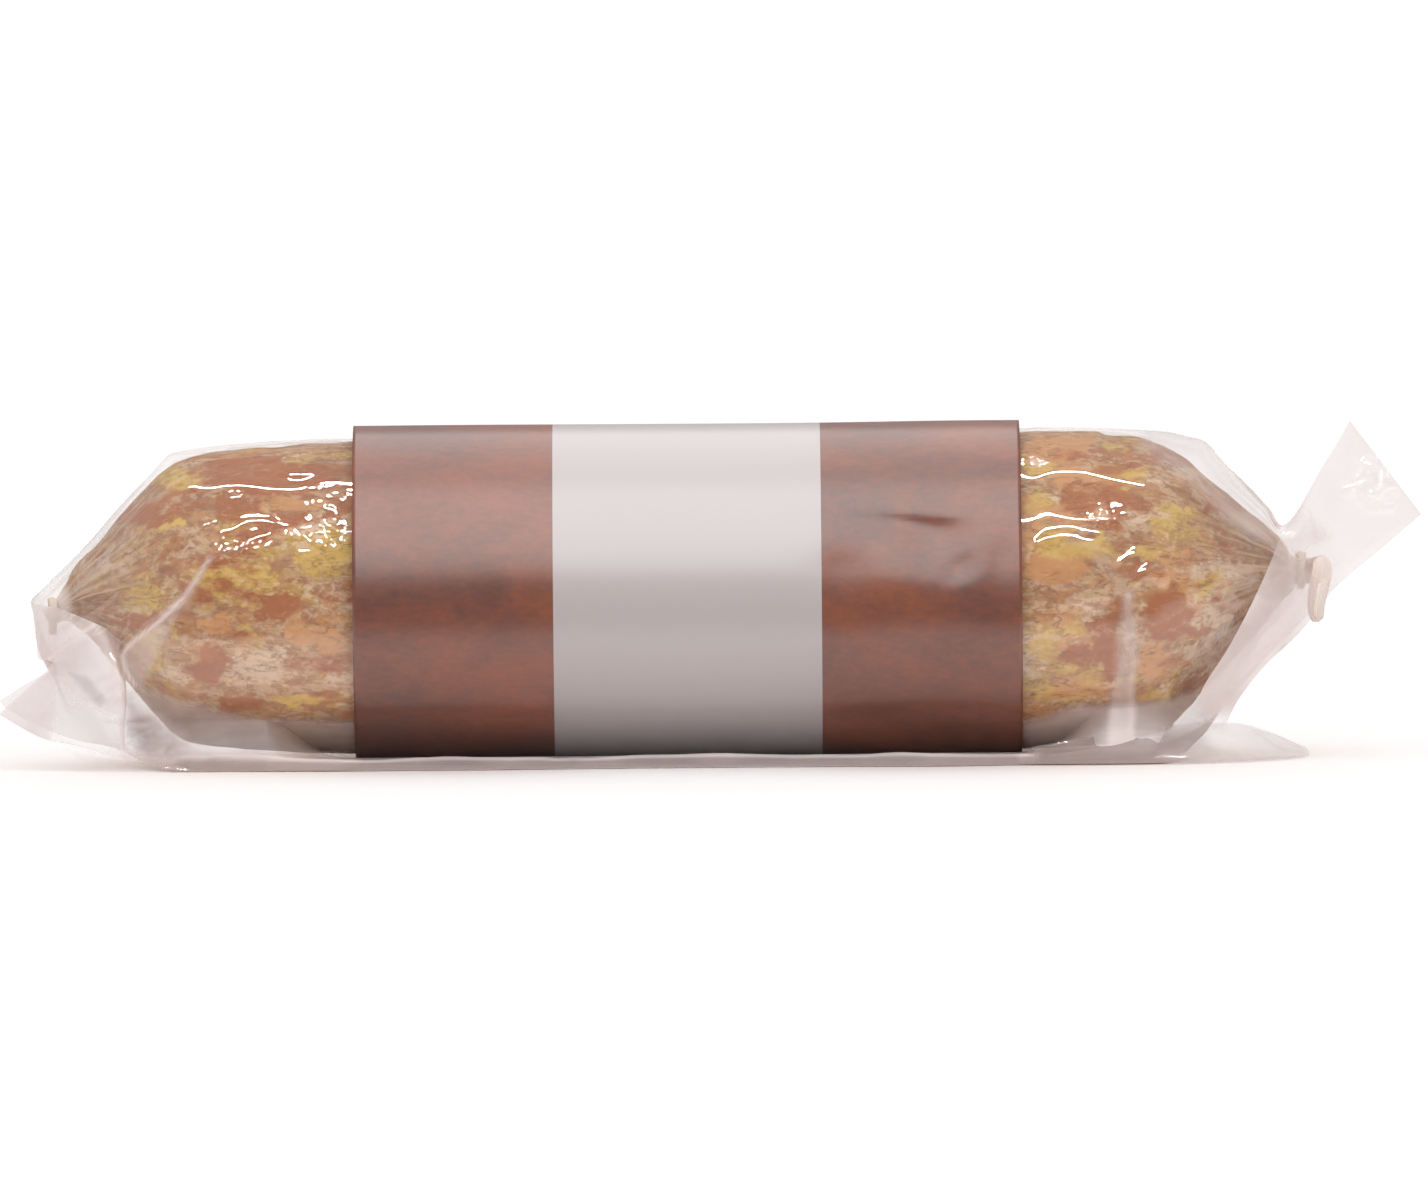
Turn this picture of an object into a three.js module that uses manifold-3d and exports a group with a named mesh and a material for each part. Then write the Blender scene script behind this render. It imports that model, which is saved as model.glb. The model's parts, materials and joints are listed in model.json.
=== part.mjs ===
// A small cured sausage rolled in clear film, with a paper band round its middle.
// Millimetres, +Z up. The sausage lies along X on the plane Z = 0, and its printed side faces -Y.
import * as THREE from "three";
import { mergeVertices } from "three/addons/utils/BufferGeometryUtils.js";
import Module from "manifold-3d";

const wasm = await Module();
wasm.setup();

// ---------------------------------------------------------------- driving dimensions

const GAP = 0.3; // between pieces that touch
const FILM = 0.3; // wall of the film, thicker than the real 0.04 mm so that it is a solid
const PAPER = 0.3;

const BAND_RADIUS = 23; // outside of the paper band
const BAND_START = -48.5;
const BAND_END = 42;
const BAND_GAP_DEG = 34; // the band's two ends stop this far apart, under the sausage
const FILM_RADIUS = BAND_RADIUS - PAPER - GAP;
const SAUSAGE_RADIUS = FILM_RADIUS - FILM - GAP;
const AXIS_HEIGHT = BAND_RADIUS;

const LEFT_TIP_DROP = 2.6; // the left tip hangs below the axis
const RIGHT_TIP_RISE = 2.2; // the right tip stands above it
const LEFT_BEND = [60, 89]; // the distances from the middle between which the left end bends
const RIGHT_BEND = [52, 80];

const TWINE = 0.8; // thickness of the string that ties each end
const NECK_RADIUS = 1.5; // the casing where it is tied
const LEFT_TIE = -90.4; // where each tie's first turn starts
const RIGHT_TIE = 79.5;

const CASING_TAIL_RADIUS = 1.25; // the end of casing left past the right tie
const FLAT_TAIL = 1.1; // thickness of the film's two flattened tails
const SLIT = 0.5; // the open space inside a flattened tail
const SKIRT = 0.4; // thickness of the film's seam, pressed flat on the table
const ROOT_LENGTH = 130; // where the seam joins the round wrap
const ROOT_WIDTH = 8;
const ROOT_HEIGHT = 1;
const ROOT_CENTRE = -4;

const ROUND = 40; // sides of a round piece
const ARC_STEPS = 56; // steps round the paper band
const RING_SIDES = 24; // sides of one turn of twine, seen along the sausage
const TWINE_SIDES = 8; // sides of the twine itself
const CASING_TAIL_SIDES = 12;
const CASING_TAIL_STEPS = 12; // steps along the tail of casing
const CASING_TIP_RINGS = 8;
const WELD = 1e-4; // corners closer than this are one
const TURNS_APART = 0.9; // a tie's turns press into each other by a tenth of the twine

// ---------------------------------------------------------------- outlines

// Each row is a place along the sausage and a radius there.
const SAUSAGE_PROFILE = [
  [-91.5, 0],
  [-91.5, NECK_RADIUS],
  [-88.9, NECK_RADIUS],
  [-86.5, 4],
  [-84.2, 6.5],
  [-80, 11.4],
  [-76, 15.8],
  [-73, 18.2],
  [-70, 19.4],
  [-60, 20.5],
  [-46, SAUSAGE_RADIUS],
  [42, SAUSAGE_RADIUS],
  [56, 21.2],
  [61, 20.2],
  [64, 18.5],
  [67.4, 15.9],
  [72, 12.2],
  [76.4, 8.2],
  [78.4, 4.5],
  [79.1, NECK_RADIUS],
  [82.2, NECK_RADIUS],
  [82.2, 0],
];

const FILM_PROFILE = [
  [-92.3, 0],
  [-92.3, 3.9],
  [-88.7, 4.8],
  [-84.2, 8],
  [-80, 12.6],
  [-76, 16.9],
  [-73, 19.2],
  [-70, 20.3],
  [-60, 21.3],
  [-46, FILM_RADIUS],
  [42, FILM_RADIUS],
  [61, 21.9],
  [64, 21.3],
  [67.4, 19.4],
  [70.7, 15.6],
  [75.5, 10.8],
  [78.5, 7.2],
  [80.5, 5.2],
  [83.6, 4.4],
  [83.6, 0],
];

// The flattened tails in the XZ plane. The first and last points lie inside the wrapped end.
const LEFT_TAIL = [
  [-90, 23.2],
  [-92.4, 20.6],
  [-91.6, 13.7],
  [-90.6, 13],
  [-96.8, 8.2],
  [-94, 5.6],
  [-87.5, 2.6],
  [-84.6, 3.2],
  [-87.4, 11.2],
  [-89.6, 17.2],
];
const RIGHT_TAIL = [
  [81.2, 28],
  [86.9, 46.4],
  [96.7, 33.6],
  [84.2, 23.1],
  [82, 21.2],
];
// The slit inside each tail runs from the wrapped end and out through the tail's cut edge.
const LEFT_SLIT = [
  [-91.2, 21.2],
  [-91.8, 20.2],
  [-91, 14],
  [-90, 12.6],
  [-96.6, 7.4],
  [-95.4, 4],
  [-87.4, 1],
  [-86, 4],
  [-88, 11.2],
  [-90.4, 17.2],
];
const RIGHT_SLIT = [
  [82.4, 27],
  [87.2, 45.2],
  [89, 47],
  [98, 35],
  [95.6, 33.4],
  [83.6, 23.4],
  [82.2, 22.2],
];

// The seam pressed flat on the table, seen from above.
const SKIRT_OUTLINE = [
  [-80, 4],
  [-82, -6],
  [-74, -16],
  [-50, -19],
  [50, -19],
  [68, -17],
  [78, -6],
  [81, 5],
  [62, 7],
  [-66, 7],
];

const CASING_TAIL_PATH = [
  [82, 0, 25.2],
  [83.4, -1.6, 26.2],
  [84, -3.6, 24.6],
  [83.6, -3.9, 22],
  [83.5, -3.9, 20.2],
];

// ---------------------------------------------------------------- solids

const radians = THREE.MathUtils.degToRad;

function solid(geometry) {
  const bare = geometry.clone();
  bare.deleteAttribute("normal");
  bare.deleteAttribute("uv");
  const merged = mergeVertices(bare, WELD);
  return new wasm.Manifold(
    new wasm.Mesh({
      numProp: 3,
      vertProperties: new Float32Array(merged.attributes.position.array),
      triVerts: new Uint32Array(merged.index.array),
    }),
  );
}

function geometryOf(made) {
  const { vertProperties, triVerts } = made.getMesh();
  const geometry = new THREE.BufferGeometry();
  geometry.setAttribute("position", new THREE.BufferAttribute(vertProperties, 3));
  geometry.setIndex(new THREE.BufferAttribute(triVerts, 1));
  geometry.computeVertexNormals();
  return geometry;
}

// How far the middle line stands above the axis: the tips turn a little down and a little up.
function lift(x) {
  const left = THREE.MathUtils.smoothstep(-x, ...LEFT_BEND);
  const right = THREE.MathUtils.smoothstep(x, ...RIGHT_BEND);
  return RIGHT_TIP_RISE * right - LEFT_TIP_DROP * left;
}

// A profile of [along, radius] turned about the sausage's middle line.
function turned(profile) {
  const points = profile.map(([along, radius]) => new THREE.Vector2(radius, along));
  const geometry = new THREE.LatheGeometry(points, ROUND);
  geometry.rotateZ(-Math.PI / 2);
  const at = geometry.attributes.position;
  for (let i = 0; i < at.count; i++) {
    at.setZ(i, at.getZ(i) + AXIS_HEIGHT + lift(at.getX(i)));
  }
  return solid(geometry);
}

function shrunk(profile, by) {
  const first = profile[0][0] + by;
  const last = profile[profile.length - 1][0] - by;
  return profile.map(([along, radius]) => [
    THREE.MathUtils.clamp(along, first, last),
    Math.max(radius - by, 0),
  ]);
}

function outline(points) {
  return new THREE.Shape(points.map(([x, y]) => new THREE.Vector2(x, y)));
}

// A flat plate drawn in the XZ plane, with its middle at Y = 0.
function uprightPlate(points, thickness) {
  const options = { depth: thickness, bevelEnabled: false };
  const geometry = new THREE.ExtrudeGeometry(outline(points), options);
  geometry.rotateX(Math.PI / 2);
  geometry.translate(0, thickness / 2, 0);
  return solid(geometry);
}

function lyingPlate(points, thickness) {
  const options = { depth: thickness, bevelEnabled: false };
  return solid(new THREE.ExtrudeGeometry(outline(points), options));
}

function casingTail(radius) {
  const path = new THREE.CatmullRomCurve3(CASING_TAIL_PATH.map((p) => new THREE.Vector3(...p)));
  const section = new THREE.Shape();
  section.absarc(0, 0, radius, 0, 2 * Math.PI, false);
  const tube = new THREE.ExtrudeGeometry(section, {
    steps: CASING_TAIL_STEPS,
    curveSegments: CASING_TAIL_SIDES / 2,
    extrudePath: path,
  });
  const tip = new THREE.SphereGeometry(radius, CASING_TAIL_SIDES, CASING_TIP_RINGS);
  tip.translate(...path.getPoint(1));
  return solid(tube).add(solid(tip));
}

// ---------------------------------------------------------------- pieces

function sausage() {
  return turned(SAUSAGE_PROFILE).add(casingTail(CASING_TAIL_RADIUS));
}

// Clear film rolled round the sausage, open at the cut edge of each flattened tail.
function filmWrap() {
  const root = new THREE.BoxGeometry(ROOT_LENGTH, ROOT_WIDTH, ROOT_HEIGHT);
  root.translate(ROOT_CENTRE, 0, ROOT_HEIGHT / 2);
  const outside = turned(FILM_PROFILE)
    .add(uprightPlate(LEFT_TAIL, FLAT_TAIL))
    .add(uprightPlate(RIGHT_TAIL, FLAT_TAIL))
    .add(lyingPlate(SKIRT_OUTLINE, SKIRT))
    .add(solid(root));
  const inside = turned(shrunk(FILM_PROFILE, FILM))
    .add(uprightPlate(LEFT_SLIT, SLIT))
    .add(uprightPlate(RIGHT_SLIT, SLIT))
    .add(casingTail(CASING_TAIL_RADIUS + GAP));
  return outside.subtract(inside);
}

// A strip of paper round the film. Its ends stop on each side of the film's seam.
function paperBand() {
  const half = radians(BAND_GAP_DEG / 2);
  const start = -Math.PI / 2 + half;
  const end = (3 * Math.PI) / 2 - half;
  const inner = BAND_RADIUS - PAPER;
  const strip = new THREE.Shape();
  strip.absarc(0, 0, BAND_RADIUS, start, end, false);
  strip.absarc(0, 0, inner, end, start, true);
  const geometry = new THREE.ExtrudeGeometry(strip, {
    depth: BAND_END - BAND_START,
    bevelEnabled: false,
    curveSegments: ARC_STEPS,
  });
  geometry.rotateX(Math.PI / 2);
  geometry.rotateZ(Math.PI / 2);
  geometry.translate(BAND_START, 0, AXIS_HEIGHT);
  return solid(geometry);
}

// Two turns of twine round a neck of the casing.
function endTie(start) {
  const inner = NECK_RADIUS + GAP;
  const middle = inner + TWINE / 2;
  const wound = [];
  for (const turn of [0, 1]) {
    const centre = (turn + 0.5) * TWINE * TURNS_APART;
    const ring = new THREE.TorusGeometry(middle, TWINE / 2, TWINE_SIDES, RING_SIDES);
    ring.rotateY(Math.PI / 2);
    ring.translate(start + centre, 0, AXIS_HEIGHT + lift(start + TWINE));
    wound.push(solid(ring));
  }
  return wound[0].add(wound[1]);
}

// ---------------------------------------------------------------- the group

const casing = { color: 0xa8754f, roughness: 0.7, metalness: 0 };
const twine = { color: 0xe6dcc8, roughness: 0.9, metalness: 0 };
const film = { color: 0xece6e6, roughness: 0.15, metalness: 0, transparent: true, opacity: 0.35 };
const paper = { color: 0x7a4a3c, roughness: 0.5, metalness: 0 };

const pieces = [
  ["sausage", sausage(), casing],
  ["left_end_tie", endTie(LEFT_TIE), twine],
  ["right_end_tie", endTie(RIGHT_TIE), twine],
  ["film_wrap", filmWrap(), film],
  ["paper_band", paperBand(), paper],
];

const group = new THREE.Group();
for (const [name, made, look] of pieces) {
  const mesh = new THREE.Mesh(geometryOf(made), new THREE.MeshStandardMaterial(look));
  mesh.name = name;
  group.add(mesh);
}

export default group;
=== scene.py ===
import json
import math

import bmesh
import bpy
import numpy as np
from bpy.props import FloatProperty, FloatVectorProperty, IntProperty, PointerProperty
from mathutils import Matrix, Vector

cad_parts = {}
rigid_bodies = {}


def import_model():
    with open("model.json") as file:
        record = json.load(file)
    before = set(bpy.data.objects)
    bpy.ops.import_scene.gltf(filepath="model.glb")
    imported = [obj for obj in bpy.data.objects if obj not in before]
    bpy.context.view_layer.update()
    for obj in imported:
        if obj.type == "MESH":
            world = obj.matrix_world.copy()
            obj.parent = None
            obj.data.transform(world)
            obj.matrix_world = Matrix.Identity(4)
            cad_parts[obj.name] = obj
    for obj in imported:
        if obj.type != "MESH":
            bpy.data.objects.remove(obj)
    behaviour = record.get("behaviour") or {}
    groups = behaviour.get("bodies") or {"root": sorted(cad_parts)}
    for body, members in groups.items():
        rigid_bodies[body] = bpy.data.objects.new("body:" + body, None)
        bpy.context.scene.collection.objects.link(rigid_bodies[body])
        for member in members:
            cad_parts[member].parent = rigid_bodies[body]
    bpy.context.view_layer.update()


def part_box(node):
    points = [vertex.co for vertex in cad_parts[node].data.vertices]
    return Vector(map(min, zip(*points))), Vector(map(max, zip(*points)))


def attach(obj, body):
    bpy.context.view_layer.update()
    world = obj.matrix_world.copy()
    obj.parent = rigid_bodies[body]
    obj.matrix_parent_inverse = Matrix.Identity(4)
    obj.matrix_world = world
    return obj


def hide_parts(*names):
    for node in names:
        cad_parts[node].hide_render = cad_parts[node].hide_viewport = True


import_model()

bl_info = {
    "name": "Wrapped cured sausage",
    "version": (1, 0, 0),
    "blender": (4, 5, 0),
    "location": "3D View > Sidebar > Sausage",
    "description": "A cured sausage in clear film with a paper band, modelled round its frame",
    "category": "Add Mesh",
}

MM = 0.001
SUPPORT = "root"
DOUBLES = 0.002 * MM  # vertices closer than this are one

BAND_LOW, BAND_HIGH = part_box("paper_band")
BAND_START = BAND_LOW.x / MM
BAND_END = BAND_HIGH.x / MM
BAND_RADIUS = (BAND_HIGH.y - BAND_LOW.y) / 2 / MM
AXIS_HEIGHT = BAND_HIGH.z / MM - BAND_RADIUS

# ------------------------------------------------------------------ outlines, in millimetres

# Place along the sausage, radius, height of the middle line.
SAUSAGE_STATIONS = (
    (-90.6, 1.0, 20.0),
    (-89.6, 1.3, 20.6),
    (-88.6, 1.5, 21.1),
    (-87.4, 3.0, 21.6),
    (-84.2, 7.2, 22.3),
    (-80.0, 12.2, 22.6),
    (-76.0, 16.4, 22.7),
    (-72.6, 19.0, 22.7),
    (-68.0, 20.3, 22.6),
    (-60.0, 21.0, 22.5),
    (-48.5, 21.5, 22.5),
    (0.0, 21.8, 22.5),
    (42.0, 21.8, 22.8),
    (54.0, 21.4, 23.1),
    (60.0, 20.1, 24.0),
    (64.0, 17.8, 24.4),
    (67.4, 15.0, 24.6),
    (72.0, 10.9, 24.9),
    (76.4, 6.3, 25.1),
    (78.6, 3.4, 25.1),
    (79.4, 1.9, 25.2),
    (81.4, 1.8, 25.2),
)
# The tail of casing past the right tie: its middle line and its radius.
CASING_TAIL = (
    (82.4, -1.2, 25.9, 1.2),
    (83.0, -3.4, 26.0, 1.3),
    (82.9, -5.0, 24.6, 1.4),
    (82.4, -5.6, 22.6, 1.35),
    (82.1, -5.8, 20.6, 1.2),
    (82.2, -5.8, 19.2, 1.0),
    (82.4, -5.8, 18.4, 0.6),
)

# Each section of the film is an ellipse: the ends of its upright axis (x, z, x, z),
# half its depth, and its shift along Y, which is negative towards the front.
FILM_SECTIONS = (
    (-96.8, 9.3, -96.2, 8.4, 0.12, -7.0),
    (-93.0, 11.7, -93.4, 6.8, 0.25, -7.0),
    (-89.2, 13.8, -88.2, 4.4, 0.6, -6.4),
    (-91.4, 15.6, -84.6, 3.3, 1.2, -4.6),
    (-92.3, 20.9, -82.0, 2.9, 4.3, -2.0),
    (-92.6, 22.4, -81.2, 2.9, 4.8, -1.6),
    (-91.8, 23.4, -80.6, 2.8, 5.6, -1.2),
    (-89.0, 25.8, -79.0, 2.6, 8.6, -0.4),
    (-84.4, 30.4, -77.0, 2.2, 12.8, 0.0),
    (-79.6, 36.0, -74.6, 1.6, 16.6, 0.0),
    (-76.0, 39.8, -71.6, 1.1, 19.2, 0.0),
    (-74.2, 41.8, -69.8, 0.9, 20.1, 0.0),
    (-72.9, 42.5, -68.2, 0.8, 20.5, 0.0),
    (-68.4, 43.1, -63.6, 0.6, 21.2, 0.0),
    (-60.0, 43.7, -57.0, 0.5, 21.3, 0.0),
    (-48.5, 44.2, -48.5, 0.5, 21.7, 0.0),
    (-20.0, 44.6, -20.0, 0.5, 22.0, 0.0),
    (20.0, 44.7, 20.0, 0.5, 22.1, 0.0),
    (42.0, 44.8, 42.0, 0.6, 22.1, 0.0),
    (52.0, 44.7, 51.0, 0.8, 21.8, 0.0),
    (61.0, 44.3, 57.6, 1.2, 20.8, 0.0),
    (65.0, 43.5, 61.4, 2.0, 18.9, 0.0),
    (67.6, 42.6, 64.4, 3.2, 16.8, 0.0),
    (70.6, 39.2, 67.0, 4.8, 14.6, 0.0),
    (73.4, 36.4, 69.0, 6.6, 12.4, 0.0),
    (75.8, 33.8, 71.0, 8.8, 10.6, 0.0),
    (77.4, 31.4, 73.4, 11.4, 8.0, -0.2),
    (79.2, 32.4, 76.6, 14.6, 4.6, -0.8),
    (81.2, 35.6, 80.2, 18.2, 2.4, -1.6),
    (83.2, 39.2, 84.2, 22.4, 1.2, -2.2),
    (85.2, 42.4, 90.4, 27.6, 0.6, -2.8),
    (87.0, 45.6, 96.6, 32.8, 0.3, -3.2),
)
PLAIN_SECTIONS = (15, 18)  # the sections that the band hides

# ------------------------------------------------------------------ settings


def length(name, about, default):
    return FloatProperty(name=name, description=about, default=default, unit="LENGTH")


def colour(name, about, default):
    return FloatVectorProperty(
        name=name, description=about, default=default, size=3, subtype="COLOR", min=0, max=1
    )


class SausageSettings(bpy.types.PropertyGroup):
    around: IntProperty(name="Sides", description="Faces round the sausage", default=270)
    lump: length("Lumps", "Depth of the dents between lumps of meat", 0.5 * MM)
    wrinkle: length("Wrinkles", "Depth of the lengthwise wrinkles", 0.3 * MM)
    pleat: FloatProperty(
        name="Pleats", description="Depth of the pleats at the tips, as a share of the radius",
        default=0.2,
    )
    tan: colour("Tan", "Dusty casing over the meat", (0.6, 0.33, 0.155))
    mauve: colour("Mauve", "Casing over dark lean meat", (0.34, 0.155, 0.09))
    red: colour("Red", "Bare casing over lean meat", (0.45, 0.15, 0.06))
    peach: colour("Peach", "Bare casing over fatty meat", (0.68, 0.34, 0.15))
    olive: colour("Olive", "Thin yellow bloom", (0.56, 0.34, 0.105))
    yellow: colour("Yellow bloom", "Thick yellow bloom", (0.72, 0.47, 0.14))
    white: colour("White bloom", "White bloom", (0.76, 0.55, 0.38))
    # The grooves' colour is dust and painted shade in the wrinkles; the fine dark lines take it too.
    shade: colour("Grooves", "Dust and shade in the wrinkles", (0.17, 0.08, 0.05))
    tail: colour("Tail", "The empty casing past the ties", (0.98, 0.86, 0.79))


class FilmSettings(bpy.types.PropertyGroup):
    around: IntProperty(name="Sides", description="Faces round the film", default=280)
    crinkle: length("Crinkle", "Height of the film's creases", 0.55 * MM)
    haze: colour("Haze", "Colour of the film where it lies in several layers", (0.95, 0.82, 0.79))
    shade: colour("Shade", "Its colour where the layers lie in the sausage's shade", (0.42, 0.33, 0.31))


class BandSettings(bpy.types.PropertyGroup):
    thickness: length("Paper", "Thickness of the paper", 0.22 * MM)
    brown: colour("Brown", "Light parts of the mottled print", (0.2, 0.06, 0.03))
    dark: colour("Dark brown", "Dark parts of the mottled print", (0.105, 0.042, 0.032))
    panel: colour("Panel", "The bare panel in the middle", (0.36, 0.32, 0.317))


class StageSettings(bpy.types.PropertyGroup):
    elevation: FloatProperty(
        name="Elevation", description="Camera above the horizon", default=math.radians(3),
        subtype="ANGLE",
    )
    roll: FloatProperty(
        name="Roll", description="Camera turned about its line of sight",
        default=math.radians(-0.5), subtype="ANGLE",
    )
    distance: length("Distance", "Camera to the middle of the sausage", 3.0)
    view_width: length("View width", "Width of the view at the sausage", 0.19435)


# ------------------------------------------------------------------ noise and curves

# Each layer of noise is about twice as fine as the last, and is shifted away from it.
CLOUD_STEP, CLOUD_SHIFT, CLOUD_STRENGTH = 2.03, 7.3, 1.6
RIDGE_STEP, RIDGE_SHIFT, RIDGE_SHARPNESS = 2.1, 3.7, 1.7


def lattice(cell, seed):
    """A random value from -1 to 1 for each whole-numbered place; a seed picks the pattern."""
    x, y, z = (cell[..., k].astype(np.int64).astype(np.uint32) for k in range(3))
    # Large odd numbers mix the bits of the place and of the seed.
    mixed = x * np.uint32(374761393) + y * np.uint32(668265263) + z * np.uint32(2246822519)
    mixed += np.uint32(seed * 3266489917 % 2**32)
    mixed = (mixed ^ (mixed >> np.uint32(13))) * np.uint32(1274126177)
    mixed = (mixed ^ (mixed >> np.uint32(16))) * np.uint32(2654435761)
    mixed ^= mixed >> np.uint32(15)
    return mixed.astype(np.float64) / 2147483647.5 - 1


def cloud(points, seed):
    """Smooth noise from -1 to 1 with one bump to a unit."""
    base = np.floor(points)
    part = points - base
    part = part * part * (3 - 2 * part)
    total = np.zeros(points.shape[:-1])
    for corner in np.ndindex(2, 2, 2):
        share = np.ones(points.shape[:-1])
        for k in range(3):
            share = share * (part[..., k] if corner[k] else 1 - part[..., k])
        total += share * lattice(base + np.array(corner), seed)
    return total


def clouds(points, seed, layers):
    """Layers of smooth noise, from about -1 to 1."""
    total, strength, size = 0.0, 0.0, 1.0
    for layer in range(layers):
        finer = points * CLOUD_STEP**layer + CLOUD_SHIFT * layer
        total = total + size * cloud(finer, seed + layer)
        strength += size
        size *= 0.5
    return total / strength * CLOUD_STRENGTH


def ridges(points, seed, layers):
    """Layers of sharp crests at 1 with smooth valleys towards 0."""
    total, strength, size = 0.0, 0.0, 1.0
    for layer in range(layers):
        finer = points * RIDGE_STEP**layer + RIDGE_SHIFT * layer
        crest = 1 - np.abs(cloud(finer, seed + layer)) * RIDGE_SHARPNESS
        total = total + size * np.clip(crest, 0, 1)
        strength += size
        size *= 0.5
    return total / strength


def smooth(low, high, value):
    """0 below low, 1 above high, smooth between."""
    t = np.clip((value - low) / (high - low), 0, 1)
    return t * t * (3 - 2 * t)


def curve_weights(count, at):
    """Weights of a smooth curve through count points, at places from 0 to count - 1."""
    at = np.clip(np.asarray(at, float), 0, count - 1)
    first = np.minimum(at.astype(int), count - 2)
    t = at - first
    parts = (
        -0.5 * t + t**2 - 0.5 * t**3,
        1 - 2.5 * t**2 + 1.5 * t**3,
        0.5 * t + 2 * t**2 - 1.5 * t**3,
        -0.5 * t**2 + 0.5 * t**3,
    )
    weights = np.zeros((len(at), count))
    for shift, part in zip((-1, 0, 1, 2), parts):
        index = np.clip(first + shift, 0, count - 1)
        np.add.at(weights, (np.arange(len(at)), index), part)
    return weights


def through(points, at):
    """A smooth curve through points, at places from 0 to their count - 1."""
    points = np.asarray(points, float)
    return curve_weights(len(points), at) @ points


def even_rows(lengths, spacing):
    """Places along a table of points so that rows lie spacing[i] apart past point i."""
    rows = np.concatenate([[0], np.cumsum(np.asarray(lengths) / np.asarray(spacing))])
    count = int(round(rows[-1]))
    return np.interp(np.linspace(0, rows[-1], count + 1), rows, np.arange(len(rows)))


# ------------------------------------------------------------------ mesh making


def spun_grid(rows, columns, turn=2 * math.pi):
    """A tube of rows rings spun about X, with its row and column for each vertex."""
    bm = bmesh.new()
    line = [bm.verts.new((row, 0, 1)) for row in range(rows)]
    edges = [bm.edges.new(pair) for pair in zip(line, line[1:])]
    bmesh.ops.spin(
        bm, geom=line + edges, cent=(0, 0, 0), axis=(1, 0, 0), dvec=(0, 0, 0),
        angle=turn, steps=columns, use_merge=turn >= 2 * math.pi,
    )
    mesh = bpy.data.meshes.new("grid")
    bm.to_mesh(mesh)
    bm.free()
    place = read(mesh.vertices, "co")
    row = np.rint(place[:, 0]).astype(int)
    angle = np.arctan2(-place[:, 1], place[:, 2]) % (2 * math.pi)
    column = np.rint(angle / (turn / columns)).astype(int)
    if turn >= 2 * math.pi:
        column %= columns
    return mesh, row, column


def flat_grid(across, along):
    """A flat grid with u and v from 0 to 1 for each vertex."""
    bm = bmesh.new()
    bmesh.ops.create_grid(bm, x_segments=across, y_segments=along, size=0.5)
    mesh = bpy.data.meshes.new("grid")
    bm.to_mesh(mesh)
    bm.free()
    place = read(mesh.vertices, "co")
    return mesh, place[:, 0] + 0.5, place[:, 1] + 0.5


def read(items, field):
    """A field of three numbers, for each item of a mesh."""
    values = np.empty(len(items) * 3)
    items.foreach_get(field, values)
    return values.reshape(-1, 3)


def move_vertices(mesh, place_mm):
    """Gives the vertices these places in millimetres."""
    mesh.vertices.foreach_set("co", (np.asarray(place_mm) * MM).astype(np.float32).ravel())
    mesh.update()


def store(mesh, name, values):
    """A point attribute that the piece's material reads."""
    layer = mesh.attributes.new(name, "FLOAT", "POINT")
    layer.data.foreach_set("value", np.asarray(values, np.float32))


def face_outwards(mesh, centre_mm):
    """Turns a mesh round if most of its faces point at its middle line."""
    outward = read(mesh.polygons, "center") - np.array([0, 0, centre_mm * MM])
    outward[:, 0] = 0
    if (outward * read(mesh.polygons, "normal")).sum() < 0:
        mesh.flip_normals()


def merge_doubles(mesh):
    """Closes the tips, where a whole ring of vertices lies in one place."""
    bm = bmesh.new()
    bm.from_mesh(mesh)
    bmesh.ops.remove_doubles(bm, verts=bm.verts, dist=DOUBLES)
    bm.to_mesh(mesh)
    bm.free()


def piece(name, mesh, material, slot, *nodes):
    """A finished piece of the object, standing for its CAD nodes."""
    mesh.shade_smooth()
    mesh.materials.append(material)
    made = bpy.data.objects.new(name, mesh)
    bpy.context.scene.collection.objects.link(made)
    if nodes:
        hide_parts(*nodes)
    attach(made, SUPPORT)
    return made


# ------------------------------------------------------------------ node helpers


def new_material(name):
    """An empty material, its node tree and the socket that its surface goes to."""
    material = bpy.data.materials.new(name)
    material.use_nodes = True
    material.node_tree.nodes.clear()
    output = material.node_tree.nodes.new("ShaderNodeOutputMaterial")
    return material, material.node_tree, output.inputs["Surface"]


def add(tree, kind, settings=None, **inputs):
    """A node whose sockets, named with _ for a space, get a value or a link."""
    made = tree.nodes.new("ShaderNode" + kind)
    for name, value in (settings or {}).items():
        setattr(made, name, value)
    for name, value in inputs.items():
        plug(tree, made.inputs[name.replace("_", " ")], value)
    return made


def plug(tree, socket, value):
    """Gives a socket a link, a colour, a vector or a number."""
    if isinstance(value, bpy.types.NodeSocket):
        tree.links.new(value, socket)
    elif isinstance(value, (tuple, list, bpy.types.bpy_prop_array)) or hasattr(value, "r"):
        value = tuple(value)
        socket.default_value = (*value, 1) if len(value) == 3 and socket.type == "RGBA" else value
    else:
        socket.default_value = value


def sums(tree, operation, first, second=0.5, third=0.5, clamp=False):
    """A Math node; the values that its operation doesn't need are left at 0.5."""
    made = tree.nodes.new("ShaderNodeMath")
    made.operation = operation
    made.use_clamp = clamp
    for socket, value in zip(made.inputs, (first, second, third)):
        plug(tree, socket, value)
    return made.outputs[0]


def blend(tree, share, first, second):
    """The first colour where the share is 0 and the second where it is 1."""
    made = tree.nodes.new("ShaderNodeMix")
    made.data_type = "RGBA"
    plug(tree, made.inputs[0], share)
    plug(tree, made.inputs[6], first)
    plug(tree, made.inputs[7], second)
    return made.outputs[2]


def between(tree, value, low, high):
    """0 below low, 1 above high, smooth between."""
    made = add(tree, "MapRange", {"interpolation_type": "SMOOTHSTEP"}, Value=value)
    plug(tree, made.inputs["From Min"], low)
    plug(tree, made.inputs["From Max"], high)
    return made.outputs[0]


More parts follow.
